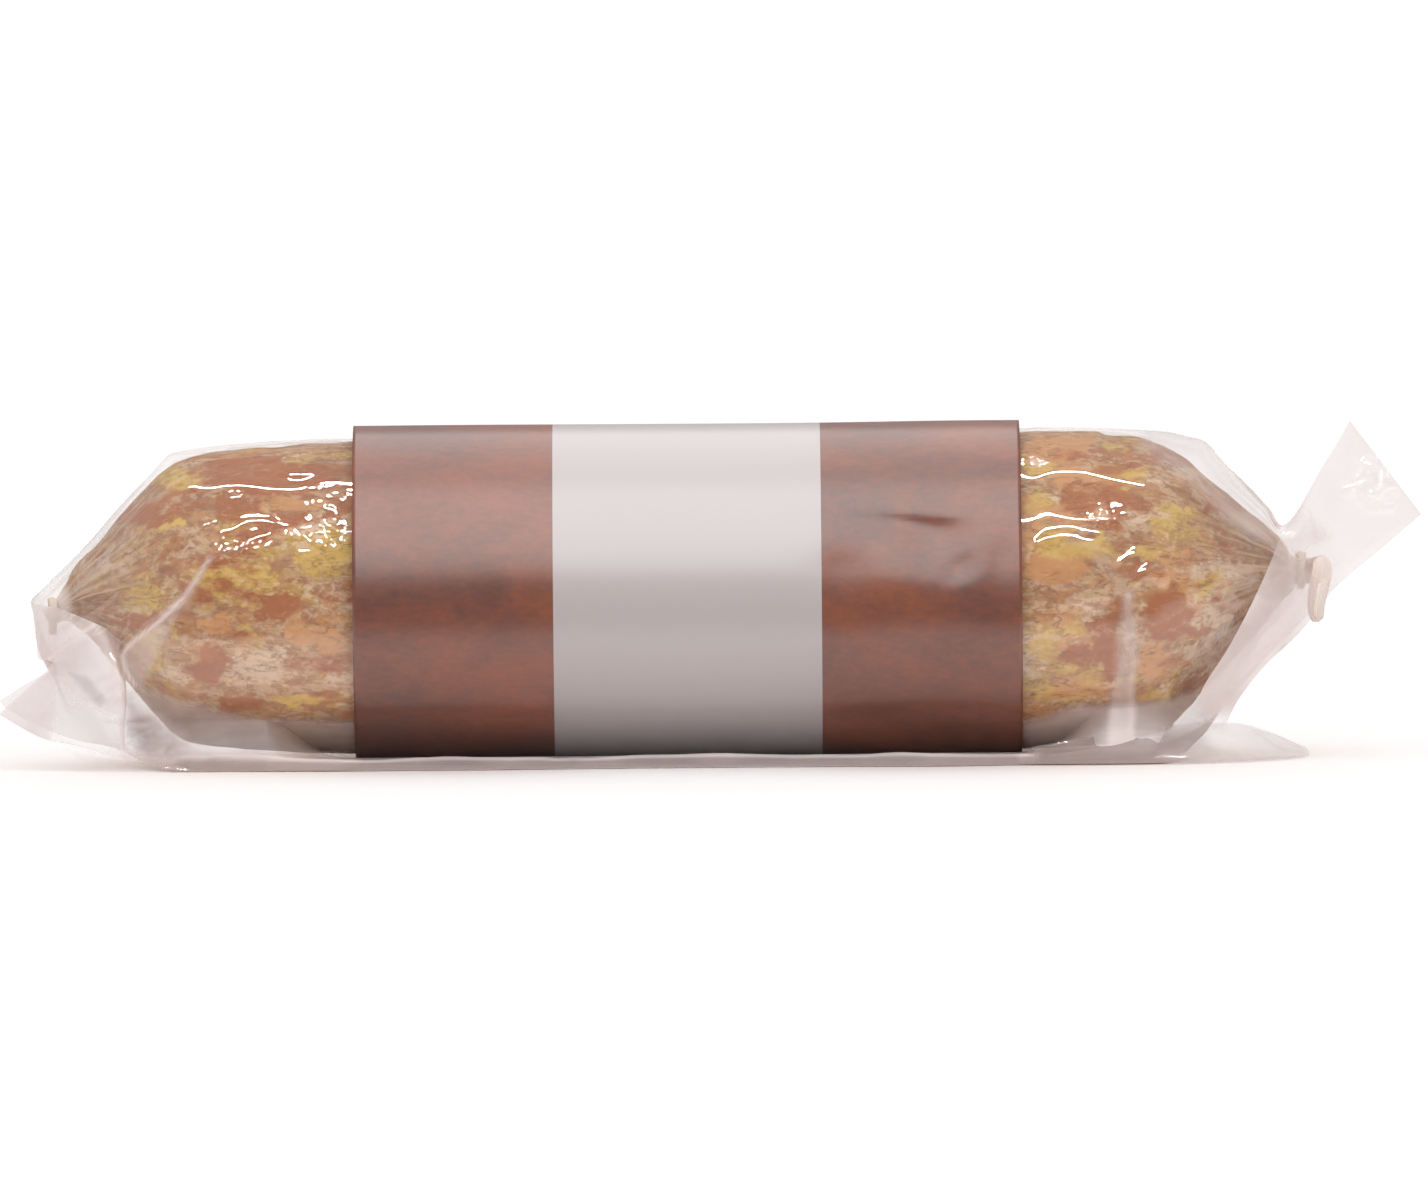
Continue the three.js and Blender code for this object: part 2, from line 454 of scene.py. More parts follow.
def effect(name, inputs, build):
    """A node group with these number inputs and one mask as its output, made once."""
    made = bpy.data.node_groups.get(name)
    if made is None:
        made = bpy.data.node_groups.new(name, "ShaderNodeTree")
        for label in inputs:
            made.interface.new_socket(label, in_out="INPUT", socket_type="NodeSocketFloat")
        made.interface.new_socket("Mask", in_out="OUTPUT", socket_type="NodeSocketFloat")
        given = made.nodes.new("NodeGroupInput").outputs
        plug(made, made.nodes.new("NodeGroupOutput").inputs["Mask"], build(made, given))
    return made


def apply_effect(tree, group, *values):
    """The mask of a node group placed in this tree with these values."""
    made = tree.nodes.new("ShaderNodeGroup")
    made.node_tree = group
    for socket, value in zip(made.inputs, values):
        plug(tree, socket, value)
    return made.outputs["Mask"]


def thin_lines(tree, value, width):
    """1 on the middle contour of a noise, falling to 0 at the width."""

    def build(inner, given):
        away = sums(inner, "ABSOLUTE", sums(inner, "SUBTRACT", given["Noise"], 0.5))
        return sums(inner, "SUBTRACT", 1.0, between(inner, away, 0.0, given["Width"]))

    return apply_effect(tree, effect("Thin lines", ("Noise", "Width"), build), value, width)


def masked(tree, grain, patch, share, low, high):
    """A patch whose edge breaks up into grains, which have this share in it."""

    def build(inner, given):
        broken = sums(inner, "MULTIPLY", between(inner, given["Grain"], 0.36, 0.64), given["Share"])
        rest = sums(inner, "SUBTRACT", 1.0, given["Share"])
        whole = sums(inner, "MULTIPLY_ADD", given["Patch"], rest, broken)
        return between(inner, whole, given["Low"], given["High"])

    group = effect("Broken patch", ("Grain", "Patch", "Share", "Low", "High"), build)
    return apply_effect(tree, group, grain, patch, share, low, high)


def swirled(tree, place, scale, amount):
    """The places moved about by a noise of this scale, by up to the amount in metres."""
    swirl = add(tree, "TexNoise", Vector=place, Scale=scale, Detail=2.0).outputs["Color"]
    made = tree.nodes.new("ShaderNodeVectorMath")
    made.operation = "MULTIPLY_ADD"
    for socket, value in zip(made.inputs, (swirl, (amount, amount, amount), place)):
        plug(tree, socket, value)
    return made.outputs[0]


def attribute(tree, name):
    """A number stored on the piece's vertices."""
    return add(tree, "Attribute", {"attribute_name": name}).outputs["Fac"]


def noise(tree, place, scale, detail=4.0, roughness=0.55, distortion=0.0):
    made = add(tree, "TexNoise", Vector=place, Scale=scale, Detail=detail)
    made.inputs["Roughness"].default_value = roughness
    made.inputs["Distortion"].default_value = distortion
    return made.outputs["Fac"]


def stretched(tree, place, scale):
    """The places scaled by this much along each axis."""
    made = add(tree, "Mapping", Vector=place)
    made.inputs["Scale"].default_value = scale
    return made.outputs[0]


# ------------------------------------------------------------------ sausage

SAUSAGE_ROW, HIDDEN_SAUSAGE_ROW = 0.36, 1.6  # from row to row, in the open and under the band
SKIN_RADIUS, SKIN_STRETCH = 21.0, 0.62  # the casing's own pattern, drawn out along the sausage
LEAST_RADIUS = 0.35  # dents leave at least this share of the radius
TAIL_FOLD = 0.18  # depth of the folds in the tail of casing

# Patches on the front: place along, height, and half sizes. First, bare casing over lean meat.
RED_PATCHES = (
    (-60.0, 39.6, 9.5, 2.3),
    (-63.9, 35.7, 3.2, 1.6),
    (-58.2, 22.6, 2.9, 1.8),
    (-68.0, 14.4, 2.3, 3.0),
    (-64.2, 9.1, 3.4, 1.2),
    (-77.0, 34.2, 4.0, 1.4),
    (-77.4, 20.4, 3.6, 1.5),
    (50.0, 14.5, 2.2, 2.0),
    (53.9, 15.7, 1.6, 3.6),
    (61.6, 20.4, 3.0, 3.6),
    (55.3, 36.3, 2.4, 1.1),
    (53.2, 19.4, 2.2, 1.6),
    (66.0, 17.9, 2.4, 0.7),
    (70.5, 34.4, 4.0, 0.9),
)
# Bare casing over fat.
PEACH_PATCHES = (
    (-66.6, 20.1, 2.6, 1.5),
    (-55.7, 18.9, 1.8, 1.4),
    (-51.8, 17.6, 2.4, 2.2),
    (-57.0, 36.2, 5.0, 1.0),
    (46.8, 26.6, 4.2, 2.4),
    (47.5, 42.6, 4.5, 1.6),
    (50.2, 38.1, 3.6, 1.5),
    (49.2, 33.8, 3.6, 1.2),
    (59.9, 14.0, 2.0, 2.4),
)
YELLOW_PATCHES = (
    (-64.5, 25.8, 6.0, 3.0),
    (-52.6, 30.0, 4.4, 3.4),
    (-77.0, 23.4, 3.6, 1.8),
    (-72.9, 19.4, 0.8, 1.2),
    (-75.0, 15.4, 0.8, 1.6),
    (-76.0, 12.0, 0.8, 1.2),
    (-75.4, 16.8, 1.2, 3.8),
    (-76.2, 12.0, 1.0, 1.0),
    (-72.6, 39.6, 3.2, 1.3),
    (-54.5, 9.6, 5.0, 0.8),
    (-73.5, 33.4, 3.0, 0.9),
    (45.2, 16.4, 2.6, 2.8),
    (44.0, 11.4, 2.0, 1.6),
    (48.6, 18.4, 1.6, 1.0),
    (50.9, 11.6, 2.4, 1.1),
    (47.6, 12.8, 1.2, 1.2),
    (57.0, 11.6, 1.2, 1.0),
    (49.5, 29.4, 5.0, 1.8),
    (60.0, 8.9, 3.6, 1.0),
    (48.0, 9.1, 4.4, 1.0),
    (61.9, 33.4, 2.8, 1.7),
    (56.0, 39.0, 3.8, 1.3),
    (44.2, 40.4, 2.8, 1.4),
    (44.0, 35.2, 3.0, 1.4),
    (45.2, 30.2, 3.2, 1.0),
    (67.8, 23.9, 2.9, 1.9),
    (60.0, 28.4, 3.0, 1.2),
)
WHITE_PATCHES = (
    (-72.7, 13.4, 2.0, 1.6),
    (-60.8, 14.6, 5.2, 3.0),
    (-50.4, 12.0, 2.2, 2.2),
    (-56.0, 33.0, 4.0, 1.4),
    (-81.0, 27.4, 3.0, 1.0),
    (43.6, 13.6, 1.8, 1.6),
    (48.4, 16.4, 1.6, 1.2),
    (47.4, 20.6, 2.0, 0.7),
    (54.0, 11.2, 1.6, 0.8),
    (50.4, 20.4, 2.2, 1.3),
    (66.8, 26.2, 6.5, 1.3),
    (67.2, 20.4, 3.2, 2.4),
    (69.8, 17.6, 2.6, 2.0),
    (65.2, 14.2, 4.2, 2.4),
    (64.5, 38.5, 5.0, 1.2),
    (58.0, 33.5, 4.0, 1.2),
)


def patches(x, y, z, table):
    """1 in the middle of the nearest patch on the front, falling to 0 at its edge."""
    sway = 1.2 * clouds(np.column_stack([x, y, z]) / 2.6, seed=61, layers=3)
    sway_up = 1.0 * clouds(np.column_stack([x, y, z]) / 2.2, seed=64, layers=3)
    found = np.zeros_like(x)
    for along, height, half_x, half_z in table:
        away = np.hypot((x + sway - along) / half_x, (z + sway_up - height) / half_z)
        found = np.maximum(found, 1 - smooth(0.5, 1.5, away))
    return found * (y < 0)


def sausage_patches(x, y, z, table, seed):
    """Patches listed for the front and scattered ones elsewhere."""
    spread = clouds(np.column_stack([x / 7, y / 3.5, z / 3.5]), seed=seed, layers=3)
    scattered = smooth(-0.2, 0.9, spread) * np.where(y < 0, 0.6, 1)
    return np.maximum(patches(x, y, z, table), scattered)


def sausage_path():
    """The middle line and radius of every row, tip to tip and down the tail of casing."""
    stations = np.array(SAUSAGE_STATIONS)
    body = np.column_stack(
        [stations[:, 0], np.zeros(len(stations)), stations[:, 2], stations[:, 1]]
    )
    table = np.vstack([body, CASING_TAIL])
    lengths = np.linalg.norm(np.diff(table[:, :3], axis=0), axis=1)
    middle = (table[:-1, 0] + table[1:, 0]) / 2
    hidden = (middle > BAND_START + 1) & (middle < BAND_END - 1)
    spacing = np.where(hidden, HIDDEN_SAUSAGE_ROW, SAUSAGE_ROW)
    return through(table, even_rows(lengths, spacing))


def carried_frames(middle):
    """Two directions across the path at each row, turned as little as the path allows."""
    ahead = np.gradient(middle, axis=0)
    ahead /= np.linalg.norm(ahead, axis=1)[:, None]
    up = np.zeros_like(middle)
    last = np.array([0.0, 0.0, 1.0])
    for row, direction in enumerate(ahead):
        last = last - (last @ direction) * direction
        last /= np.linalg.norm(last)
        up[row] = last
    return up, np.cross(up, ahead)


def sausage_relief(settings, place, ring, radius):
    """How deep the casing is dented, how much dust and painted shade its grooves get, and where body
    and tips are.
    """
    x = place[:, 0]
    body = smooth(2.0, 4.5, radius)  # 0 on the necks and the tail of casing
    tip = 1 - smooth(7.0, 19.5, radius)
    spokes = np.column_stack([ring * 3.6, x[:, None] / 34])
    fine_spokes = np.column_stack([ring * 8.0, x[:, None] / 16])
    fold = 1 - ridges(spokes, seed=11, layers=2)
    fine_fold = 1 - ridges(fine_spokes, seed=23, layers=2)
    pleats = settings.pleat * radius * (tip**1.3) * (0.62 * fold + 0.38 * fine_fold)
    lumps = settings.lump / MM * (0.5 - 0.5 * clouds(place / 6.5, seed=31, layers=3))
    long_lines = np.column_stack([x / 13, place[:, 1] / 1.7, place[:, 2] / 1.7])
    wrinkled = 1 - ridges(long_lines, seed=41, layers=2)
    wrinkled *= 0.35 + 0.65 * smooth(-0.2, 0.6, clouds(place / 14, seed=47, layers=2))
    wrinkles = settings.wrinkle / MM * wrinkled
    dent = body * (pleats + lumps + wrinkles) + (1 - body) * TAIL_FOLD * fine_fold
    # Dust and painted shade gather in the pleats' folds and in the wrinkles.
    groove = np.clip(body * (0.9 * tip * fold + 0.6 * wrinkled), 0, 1)
    return dent, groove, body, tip


def sausage_mesh(settings):
    path = sausage_path()
    middle, radius = path[:, :3], path[:, 3]
    up, side = carried_frames(middle)
    mesh, row, column = spun_grid(len(path), settings.around)
    angle = column * 2 * math.pi / settings.around
    ring = np.column_stack([np.cos(angle), np.sin(angle)])

    def rings(r):
        place = middle[row] + up[row] * (r * ring[:, 0])[:, None]
        return place + side[row] * (r * ring[:, 1])[:, None]

    r = radius[row]
    dent, groove, body, tip = sausage_relief(settings, rings(r), ring, r)
    at_tip = (row == 0) | (row == len(path) - 1)
    place = rings(np.where(at_tip, 0, np.maximum(r - dent, LEAST_RADIUS * r)))
    move_vertices(mesh, place)

    x, y, z = place.T
    for name, table, seed in (
        ("red", RED_PATCHES, 31), ("fat", PEACH_PATCHES, 37),
        ("gold", YELLOW_PATCHES, 67), ("pale", WHITE_PATCHES, 69),
    ):
        store(mesh, name, sausage_patches(x, y, z, table, seed))
    store(mesh, "groove", groove)
    store(mesh, "casing", 1 - body)
    store(mesh, "tip", tip)
    skin = mesh.attributes.new("skin", "FLOAT_VECTOR", "POINT")
    round_skin = np.column_stack([ring * SKIN_RADIUS, x[:, None] * SKIN_STRETCH]) * MM
    skin.data.foreach_set("vector", round_skin.astype(np.float32).ravel())
    merge_doubles(mesh)
    face_outwards(mesh, AXIS_HEIGHT)
    return mesh


def meat(tree, settings, flat, mottle, blotch):
    """Lumps of lean and fat meat under dusty casing, and the seams between the lumps."""
    lumps = swirled(tree, flat, 240.0, 3.5 * MM)
    scale = 175.0  # a lump is about 6 mm wide
    cell = add(tree, "TexVoronoi", Vector=lumps, Scale=scale).outputs["Color"]
    kind = add(tree, "SeparateColor", Color=cell).outputs[0]
    seam = add(tree, "TexVoronoi", {"feature": "DISTANCE_TO_EDGE"}, Vector=lumps, Scale=scale)
    seam = sums(tree, "SUBTRACT", 1.0, between(tree, seam.outputs[0], 0.03, 0.2))

    shown = blend(tree, between(tree, mottle, 0.34, 0.62), settings.mauve, settings.tan)
    lump = blend(tree, between(tree, kind, 0.3, 0.5), settings.peach, settings.tan)
    lump = blend(tree, between(tree, kind, 0.55, 0.75), lump, settings.red)
    share = sums(tree, "MULTIPLY", between(tree, blotch, 0.42, 0.6), 0.6)
    share = sums(tree, "MULTIPLY", share, sums(tree, "SUBTRACT", 1.0, seam))
    return blend(tree, share, shown, lump), seam


def bloom(tree, settings, shown, seam, fine, coarse, mottle):
    """Dust in the seams, yellow and white bloom over it, and patches where the casing is bare."""
    red, fat, gold, pale = (attribute(tree, name) for name in ("red", "fat", "gold", "pale"))
    dusty = sums(tree, "MULTIPLY", masked(tree, coarse, seam, 0.7, 0.45, 0.8), 0.55)
    shown = blend(tree, dusty, shown, settings.white)
    shown = blend(tree, masked(tree, coarse, gold, 0.45, 0.28, 0.7), shown, settings.olive)
    shown = blend(tree, masked(tree, fine, gold, 0.4, 0.4, 0.8), shown, settings.yellow)
    shown = blend(tree, masked(tree, fine, pale, 0.5, 0.38, 0.8), shown, settings.white)
    for patch, bare in ((fat, settings.peach), (red, settings.red)):
        share = sums(tree, "MULTIPLY", masked(tree, mottle, patch, 0.3, 0.3, 0.62), 0.88)
        shown = blend(tree, share, shown, bare)
    return shown


def dark_lines_and_groove_shade(tree, skin, mottle):
    """1 in the fine dark lines and in the grooves of the casing, where dust and painted shade darken
    it, with fewer lines where it is red.
    """
    streak = noise(tree, stretched(tree, skin, (1.0, 1.0, 0.6)), 760.0, 5.0, 0.6, 0.3)
    lines = sums(tree, "MULTIPLY", thin_lines(tree, streak, 0.04), between(tree, mottle, 0.42, 0.6))
    open_skin = sums(tree, "MULTIPLY_ADD", attribute(tree, "red"), -0.6, 0.8)
    lines = sums(tree, "MULTIPLY", lines, open_skin)
    groove = sums(tree, "MULTIPLY", attribute(tree, "groove"), 0.6)
    return sums(tree, "ADD", lines, groove, clamp=True)


def pale_threads(tree, settings, shown, skin, coarse):
    """White threads all over the casing and white rays on its pleated tips."""
    bright = thin_lines(tree, noise(tree, skin, 520.0, 4.0, 0.55, 0.2), 0.022)
    bright = sums(tree, "MULTIPLY", bright, between(tree, coarse, 0.45, 0.6))
    shown = blend(tree, sums(tree, "MULTIPLY", bright, 0.35), shown, settings.white)
    rays = noise(tree, stretched(tree, skin, (1.0, 1.0, 0.22)), 640.0, 4.0, 0.6, 0.2)
    on_tip = sums(tree, "MULTIPLY", attribute(tree, "tip"), 0.7)
    rays = sums(tree, "MULTIPLY", between(tree, rays, 0.46, 0.62), on_tip)
    return blend(tree, rays, shown, settings.white)


def sausage_material(settings):
    material, tree, surface = new_material("cured casing")
    place = add(tree, "TexCoord").outputs["Object"]
    skin = add(tree, "Attribute", {"attribute_name": "skin"}).outputs["Vector"]
    flat = stretched(tree, place, (0.65, 1.0, 1.0))
    fine = noise(tree, flat, 1000.0, 5.0, 0.7)
    coarse = noise(tree, flat, 620.0, 6.0, 0.7)
    mottle = noise(tree, skin, 330.0, 8.0, 0.72)
    blotch = noise(tree, place, 150.0, 4.0, 0.6)

    shown, seam = meat(tree, settings, flat, mottle, blotch)
    shown = bloom(tree, settings, shown, seam, fine, coarse, mottle)
    shade = dark_lines_and_groove_shade(tree, skin, mottle)
    # Dust and painted shade darken the grooves, and the fine dark lines take the same colour.
    shown = blend(tree, sums(tree, "MULTIPLY", shade, 0.7), shown, settings.shade)
    shown = pale_threads(tree, settings, shown, skin, coarse)
    shown = blend(tree, attribute(tree, "casing"), shown, settings.tail)

    relief = sums(tree, "MULTIPLY_ADD", shade, -0.6, sums(tree, "MULTIPLY", fine, 0.5))
    bump = add(tree, "Bump", Height=relief, Strength=0.45, Distance=0.3 * MM)
    shader = add(tree, "BsdfPrincipled", Base_Color=shown, Normal=bump.outputs[0])
    shader.inputs["Roughness"].default_value = 0.55
    shader.inputs["Specular IOR Level"].default_value = 0.3
    tree.links.new(shader.outputs[0], surface)
    return material


class CURED_OT_sausage(bpy.types.Operator):
    """Model the sausage in its pleated casing"""

    bl_idname = "cured.sausage"
    bl_label = "Sausage"

    def execute(self, context):
        settings = context.scene.cured_sausage
        mesh = sausage_mesh(settings)
        piece("sausage_in_casing", mesh, sausage_material(settings), "sausage", "sausage")
        return {"FINISHED"}


# ------------------------------------------------------------------ end ties

TWINE_TURNS = 2
TWINE_THICK = 0.8
TWINE_SIDES, TWINE_STEPS = 14, 180  # faces round the twine, and along each turn
STRANDS, TWISTS = 3, 7  # strands laid together, and how often they twist in a turn
CUT_END = 6  # steps over which each end of the twine thins, almost to a point


def twine_mesh(node):
    """Turns of twisted twine round a neck, the size of its CAD node."""
    low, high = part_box(node)
    centre = (low + high) / 2 / MM
    ring = (high.z - low.z) / 2 / MM - TWINE_THICK / 2
    steps = TWINE_TURNS * TWINE_STEPS
    mesh, row, column = spun_grid(steps + 1, TWINE_SIDES)
    along = row / TWINE_STEPS * 2 * math.pi
    across = column / TWINE_SIDES * 2 * math.pi
    strand = 0.82 + 0.18 * np.abs(np.cos(STRANDS / 2 * across + along * TWISTS))
    thin = TWINE_THICK / 2 * strand * smooth(-0.5, CUT_END, np.minimum(row, steps - row))
    pitch = (high.x - low.x) / MM - TWINE_THICK
    out = ring + thin * np.cos(across)
    x = centre.x + pitch * (row / steps - 0.5) + thin * np.sin(across)
    place = np.column_stack([x, out * np.sin(along), centre.z + out * np.cos(along)])
    move_vertices(mesh, place)
    return mesh


def twine_material():
    material, tree, surface = new_material("cotton twine")
    place = add(tree, "TexCoord").outputs["Object"]
    fibre = noise(tree, place, 2600.0, 4.0, 0.7)
    shown = blend(tree, fibre, (0.76, 0.66, 0.54), (0.94, 0.86, 0.76))
    bump = add(tree, "Bump", Height=fibre, Strength=0.5, Distance=0.1 * MM)
    shader = add(tree, "BsdfPrincipled", Base_Color=shown, Normal=bump.outputs[0])
    shader.inputs["Roughness"].default_value = 0.9
    tree.links.new(shader.outputs[0], surface)
    return material


class CURED_OT_ties(bpy.types.Operator):
    """Wind the twine that closes each end"""

    bl_idname = "cured.ties"
    bl_label = "End ties"

    def execute(self, context):
        material = twine_material()
        for node in ("left_end_tie", "right_end_tie"):
            mesh = twine_mesh(node)
            piece(node.replace("end_tie", "end_twine"), mesh, material, "twine", node)
        return {"FINISHED"}


# ------------------------------------------------------------------ film

FILM_ROW, HIDDEN_FILM_ROW = 0.56, 2.0  # from row to row, in the open and under the band
# The sheet starts at the seam in front as its upper layer, goes up the front, over the top and down
# the back, and comes out underneath as the seam's lower layer.
FILM_TURN = 1.9 * math.pi  # the sheet is spun open, and its two edges are then laid together
FRONT_SHARE, UNDER_SHARE = 0.1, 0.06  # the seam's upper and lower layers, as shares of the sheet
LEAVES_AT, LIFTED_BY = 168, 34  # degrees from the top where the upper layer leaves; less in a tent
BACK_AT = -172  # degrees from the top where the lower layer begins
SEAM_STARTS, SEAM_ENDS = (-84, -72), (60, 70)  # the seam spreads and closes between these places
LIP_DEPTH = 19.0  # the seam lies on the table as far as this in front
RIM_HEIGHT, RIM_CURL = 1.55, 0.8  # height of its upper layer there, and the most that it curls up
RIM_FOOT, LOWER_LAYER = 0.15, 0.1  # heights of the rolled rim's foot and of the seam's lower layer
ROLLED = 0.12  # the last of the seam rolls down to the table over this share of it
STICK_OUT = 12.0  # past the band, the film leaves the sausage over this length
# Haze of one layer of film, and what its narrowing ends, its tails, its tent (at the left and at the
# right), its pleats and the seam's rim add to it. The tent's haze is partly a painted reflection of the
# table, and the rim's haze partly a painted highlight along its curled edge.
PLAIN_HAZE, END_HAZE, TAIL_HAZE = 0.014, 0.05, 0.12
TENT_HAZE_AND_REFLECTION, PLEAT_HAZE, RIM_HAZE_AND_HIGHLIGHT = (0.34, 0.5), 0.2, 0.75
RIM_SHADE = 0.75  # how much of the shaded film's colour the foot of the rim has

# Creases in the front of the film: height, half width, then places along and up.
CREASES = (
    (0.26, 1.3, (42.5, 38.0), (47.6, 39.3), (52.4, 38.5), (59.0, 36.8)),
    (0.28, 1.2, (42.5, 35.0), (45.0, 35.3), (48.0, 33.6), (53.5, 33.0), (57.0, 34.2), (54.5, 36.2)),
    (0.48, 1.0, (42.5, 28.4), (44.5, 30.2), (48.0, 31.0), (52.0, 29.6), (54.5, 27.4), (57.0, 28.6)),
    (0.5, 1.1, (48.0, 30.0), (51.6, 28.4), (56.2, 23.6), (56.6, 16.0)),
    (0.7, 0.95, (48.5, 23.2), (52.8, 23.0)),
    (0.6, 0.9, (56.5, 24.4), (58.6, 26.0), (60.8, 25.4)),
    (0.4, 0.9, (53.5, 42.9), (57.0, 43.3), (60.5, 42.2)),
    (0.22, 1.6, (-72.0, 38.0), (-64.0, 38.6), (-58.0, 37.9), (-49.5, 39.0)),
    (0.3, 1.0, (-57.0, 40.6), (-49.5, 40.3)),
    (0.45, 0.95, (-68.0, 31.2), (-62.0, 33.9), (-57.5, 32.6), (-61.0, 30.3), (-68.5, 29.4)),
    (0.6, 0.8, (-64.5, 36.4), (-68.0, 28.8), (-70.5, 25.4), (-79.6, 17.4), (-79.4, 13.0)),
    (0.4, 0.8, (-80.0, 29.5), (-73.0, 32.4), (-66.0, 34.6)),
    (0.5, 0.9, (-84.0, 29.0), (-76.0, 35.0), (-70.0, 38.5)),
)
# Where the film clings to the rough casing: place along, height and half sizes.
CLINGING = (
    (-52.5, 33.4, 5.0, 3.8),
    (-64.0, 30.0, 3.2, 1.0),
    (43.6, 41.4, 2.0, 0.9),
    (54.0, 33.0, 2.0, 1.4),
)
# Folds in the front of the film that show as pale lines: haze, half width, then places.
FOLD_LINES = (
    (0.45, 0.28,
     (-67.8, 28.9), (-69.8, 25.8), (-73.3, 21.8), (-79.1, 16.8), (-79.6, 14.6), (-78.0, 11.8)),
    (0.08, 0.5, (56.0, 22.8), (55.6, 17.0), (54.6, 11.0), (53.6, 3.0)),
    (0.18, 0.5, (56.4, 23.2), (57.0, 16.4), (56.9, 10.4), (56.6, 3.0)),
    (0.12, 0.7, (48.6, 30.4), (51.6, 29.0), (54.4, 25.8), (56.4, 23.2)),
)
# Where the front of the film lies in more than one layer: haze, shade, softness, then an outline.
LAYERED = (
    (0.26, 0.1, 0.7,
     (-67.8, 28.9), (-69.8, 25.8), (-73.3, 21.8), (-79.1, 16.8), (-80.4, 11.0), (-77.0, 11.6),
     (-75.4, 15.4), (-72.8, 20.2), (-69.8, 24.6)),
    (0.34, 0.45, 1.2,
     (-79.4, 9.6), (-76.0, 8.0), (-72.0, 4.8), (-69.0, 2.2), (-76.0, 2.2), (-78.4, 4.4)),
    (0.36, 0.5, 0.9,
     (-79.6, 10.6), (-77.0, 11.4), (-73.0, 10.0), (-67.4, 8.2), (-60.0, 7.0), (-48.0, 6.6),
     (-48.0, 1.4), (-60.0, 1.8), (-70.0, 1.8), (-77.0, 2.0), (-79.8, 4.0)),
    (0.3, 0.0, 1.2, (-92.6, 23.4), (-88.0, 21.6), (-84.4, 17.4), (-86.0, 12.6), (-93.0, 13.0)),
    (0.26, 0.0, 0.8,
     (55.9, 23.2), (56.5, 23.2), (57.1, 16.2), (57.0, 10.3), (56.6, 2.0), (53.4, 2.0),
     (54.6, 11.8)),
    (0.46, 0.2, 0.9,
     (42.0, 0.0), (42.0, 5.4), (49.5, 7.6), (60.4, 8.2), (67.0, 9.4), (71.0, 6.0), (78.0, 1.0)),
    (0.24, 0.0, 1.5, (70.0, 8.0), (75.0, 20.0), (78.6, 27.0), (80.0, 22.0), (76.0, 10.0)),
    (0.28, 0.0, 1.2,
     (59.0, 46.0), (68.0, 46.0), (84.0, 30.0), (78.0, 27.0), (70.0, 32.5), (64.0, 38.8),
     (58.0, 42.0)),
)
# The same for the loose sheets.
LOOSE_LINES = (
    (0.35, 0.25, (-90.0, 15.0), (-87.0, 17.6), (-83.8, 19.6)),
    (0.16, 0.5, (-83.8, 19.6), (-82.2, 17.0), (-80.6, 12.0)),
    (0.2, 0.3, (-92.4, 12.6), (-88.4, 12.2), (-84.6, 9.4), (-81.0, 11.6)),
)
LOOSE_LAYERED = (
    (0.0, 0.16, 0.8, (-89.8, 14.6), (-84.4, 18.6), (-83.0, 14.0), (-85.4, 13.4), (-88.6, 13.6)),
    (0.0, 0.6, 0.5, (-87.2, 13.2), (-84.8, 12.8), (-82.2, 9.6), (-83.0, 8.8), (-85.2, 10.6)),
    (-0.4, 0.0, 0.6, (-88.6, 12.0), (-84.6, 9.2), (-80.6, 7.4), (-80.0, 1.4), (-90.0, 3.4)),
    (0.16, 0.85, 1.5,
     (43.0, 4.6), (58.0, 5.4), (66.0, 4.6), (68.0, 1.6), (60.0, 0.4), (44.0, 0.4)),
    (0.05, 0.2, 1.5,
     (66.0, 4.0), (64.5, 9.0), (76.0, 25.0), (79.0, 23.0), (73.0, 13.0), (70.0, 5.0)),
)


def layers(x, z, lines, areas):
    """The haze and the shade that folds and layers give the film at each place."""
    haze, shade = np.zeros(len(x)), np.zeros(len(x))
    for more, wide, *line in lines:
        haze = haze + more * np.exp(-((near_line(x, z, curved(line)) / wide) ** 2))
    for more, dark, soft, *outline in areas:
        within = smooth(-soft, soft, inside(x, z, outline))
        haze = haze + more * within
        shade = np.maximum(shade, dark * within)
    return haze, shade


def film_rows():
    """Places along the table of sections, one for each row of the film."""
    table = np.array(FILM_SECTIONS)
    middle = (table[:, :2] + table[:, 2:4]) / 2
    half = (table[:, :2] - table[:, 2:4]) / 2
    moved = np.linalg.norm(np.diff(middle, axis=0), axis=1)
    moved += 0.5 * np.linalg.norm(np.diff(half, axis=0), axis=1)
    spacing = np.full(len(moved), FILM_ROW)
    spacing[PLAIN_SECTIONS[0] + 1 : PLAIN_SECTIONS[1] - 1] = HIDDEN_FILM_ROW
    return even_rows(moved, spacing)


def film_place(at, angle):
    """A point of the smooth film: at is a place in the table of sections."""
    section = through(FILM_SECTIONS, at)
    middle = (section[:, :2] + section[:, 2:4]) / 2
    half = (section[:, :2] - section[:, 2:4]) / 2
    x = middle[:, 0] + half[:, 0] * np.cos(angle)
    z = middle[:, 1] + half[:, 1] * np.cos(angle)
    y = section[:, 5] - section[:, 4] * np.sin(angle)
    return np.column_stack([x, y, z])


def near_line(x, z, line):
    """How far each place is from a line of points in the XZ plane."""
    found = np.full(x.shape, 1e9)
    for (x0, z0), (x1, z1) in zip(line, line[1:]):
        dx, dz = x1 - x0, z1 - z0
        share = np.clip(((x - x0) * dx + (z - z0) * dz) / (dx * dx + dz * dz), 0, 1)
        found = np.minimum(found, np.hypot(x - x0 - share * dx, z - z0 - share * dz))
    return found


def inside(x, z, outline):
    """How far each place is inside an outline in the XZ plane, negative outside it."""
    within = np.zeros(x.shape, bool)
    closed = (*outline, outline[0])
    for (x0, z0), (x1, z1) in zip(closed, closed[1:]):
        if z0 != z1:
            within ^= ((z0 > z) != (z1 > z)) & (x < x0 + (z - z0) * (x1 - x0) / (z1 - z0))
    return near_line(x, z, closed) * np.where(within, 1, -1)


def curved(points, steps=6):
    """A line of points made smooth."""
    return through(points, np.linspace(0, len(points) - 1, (len(points) - 1) * steps + 1))


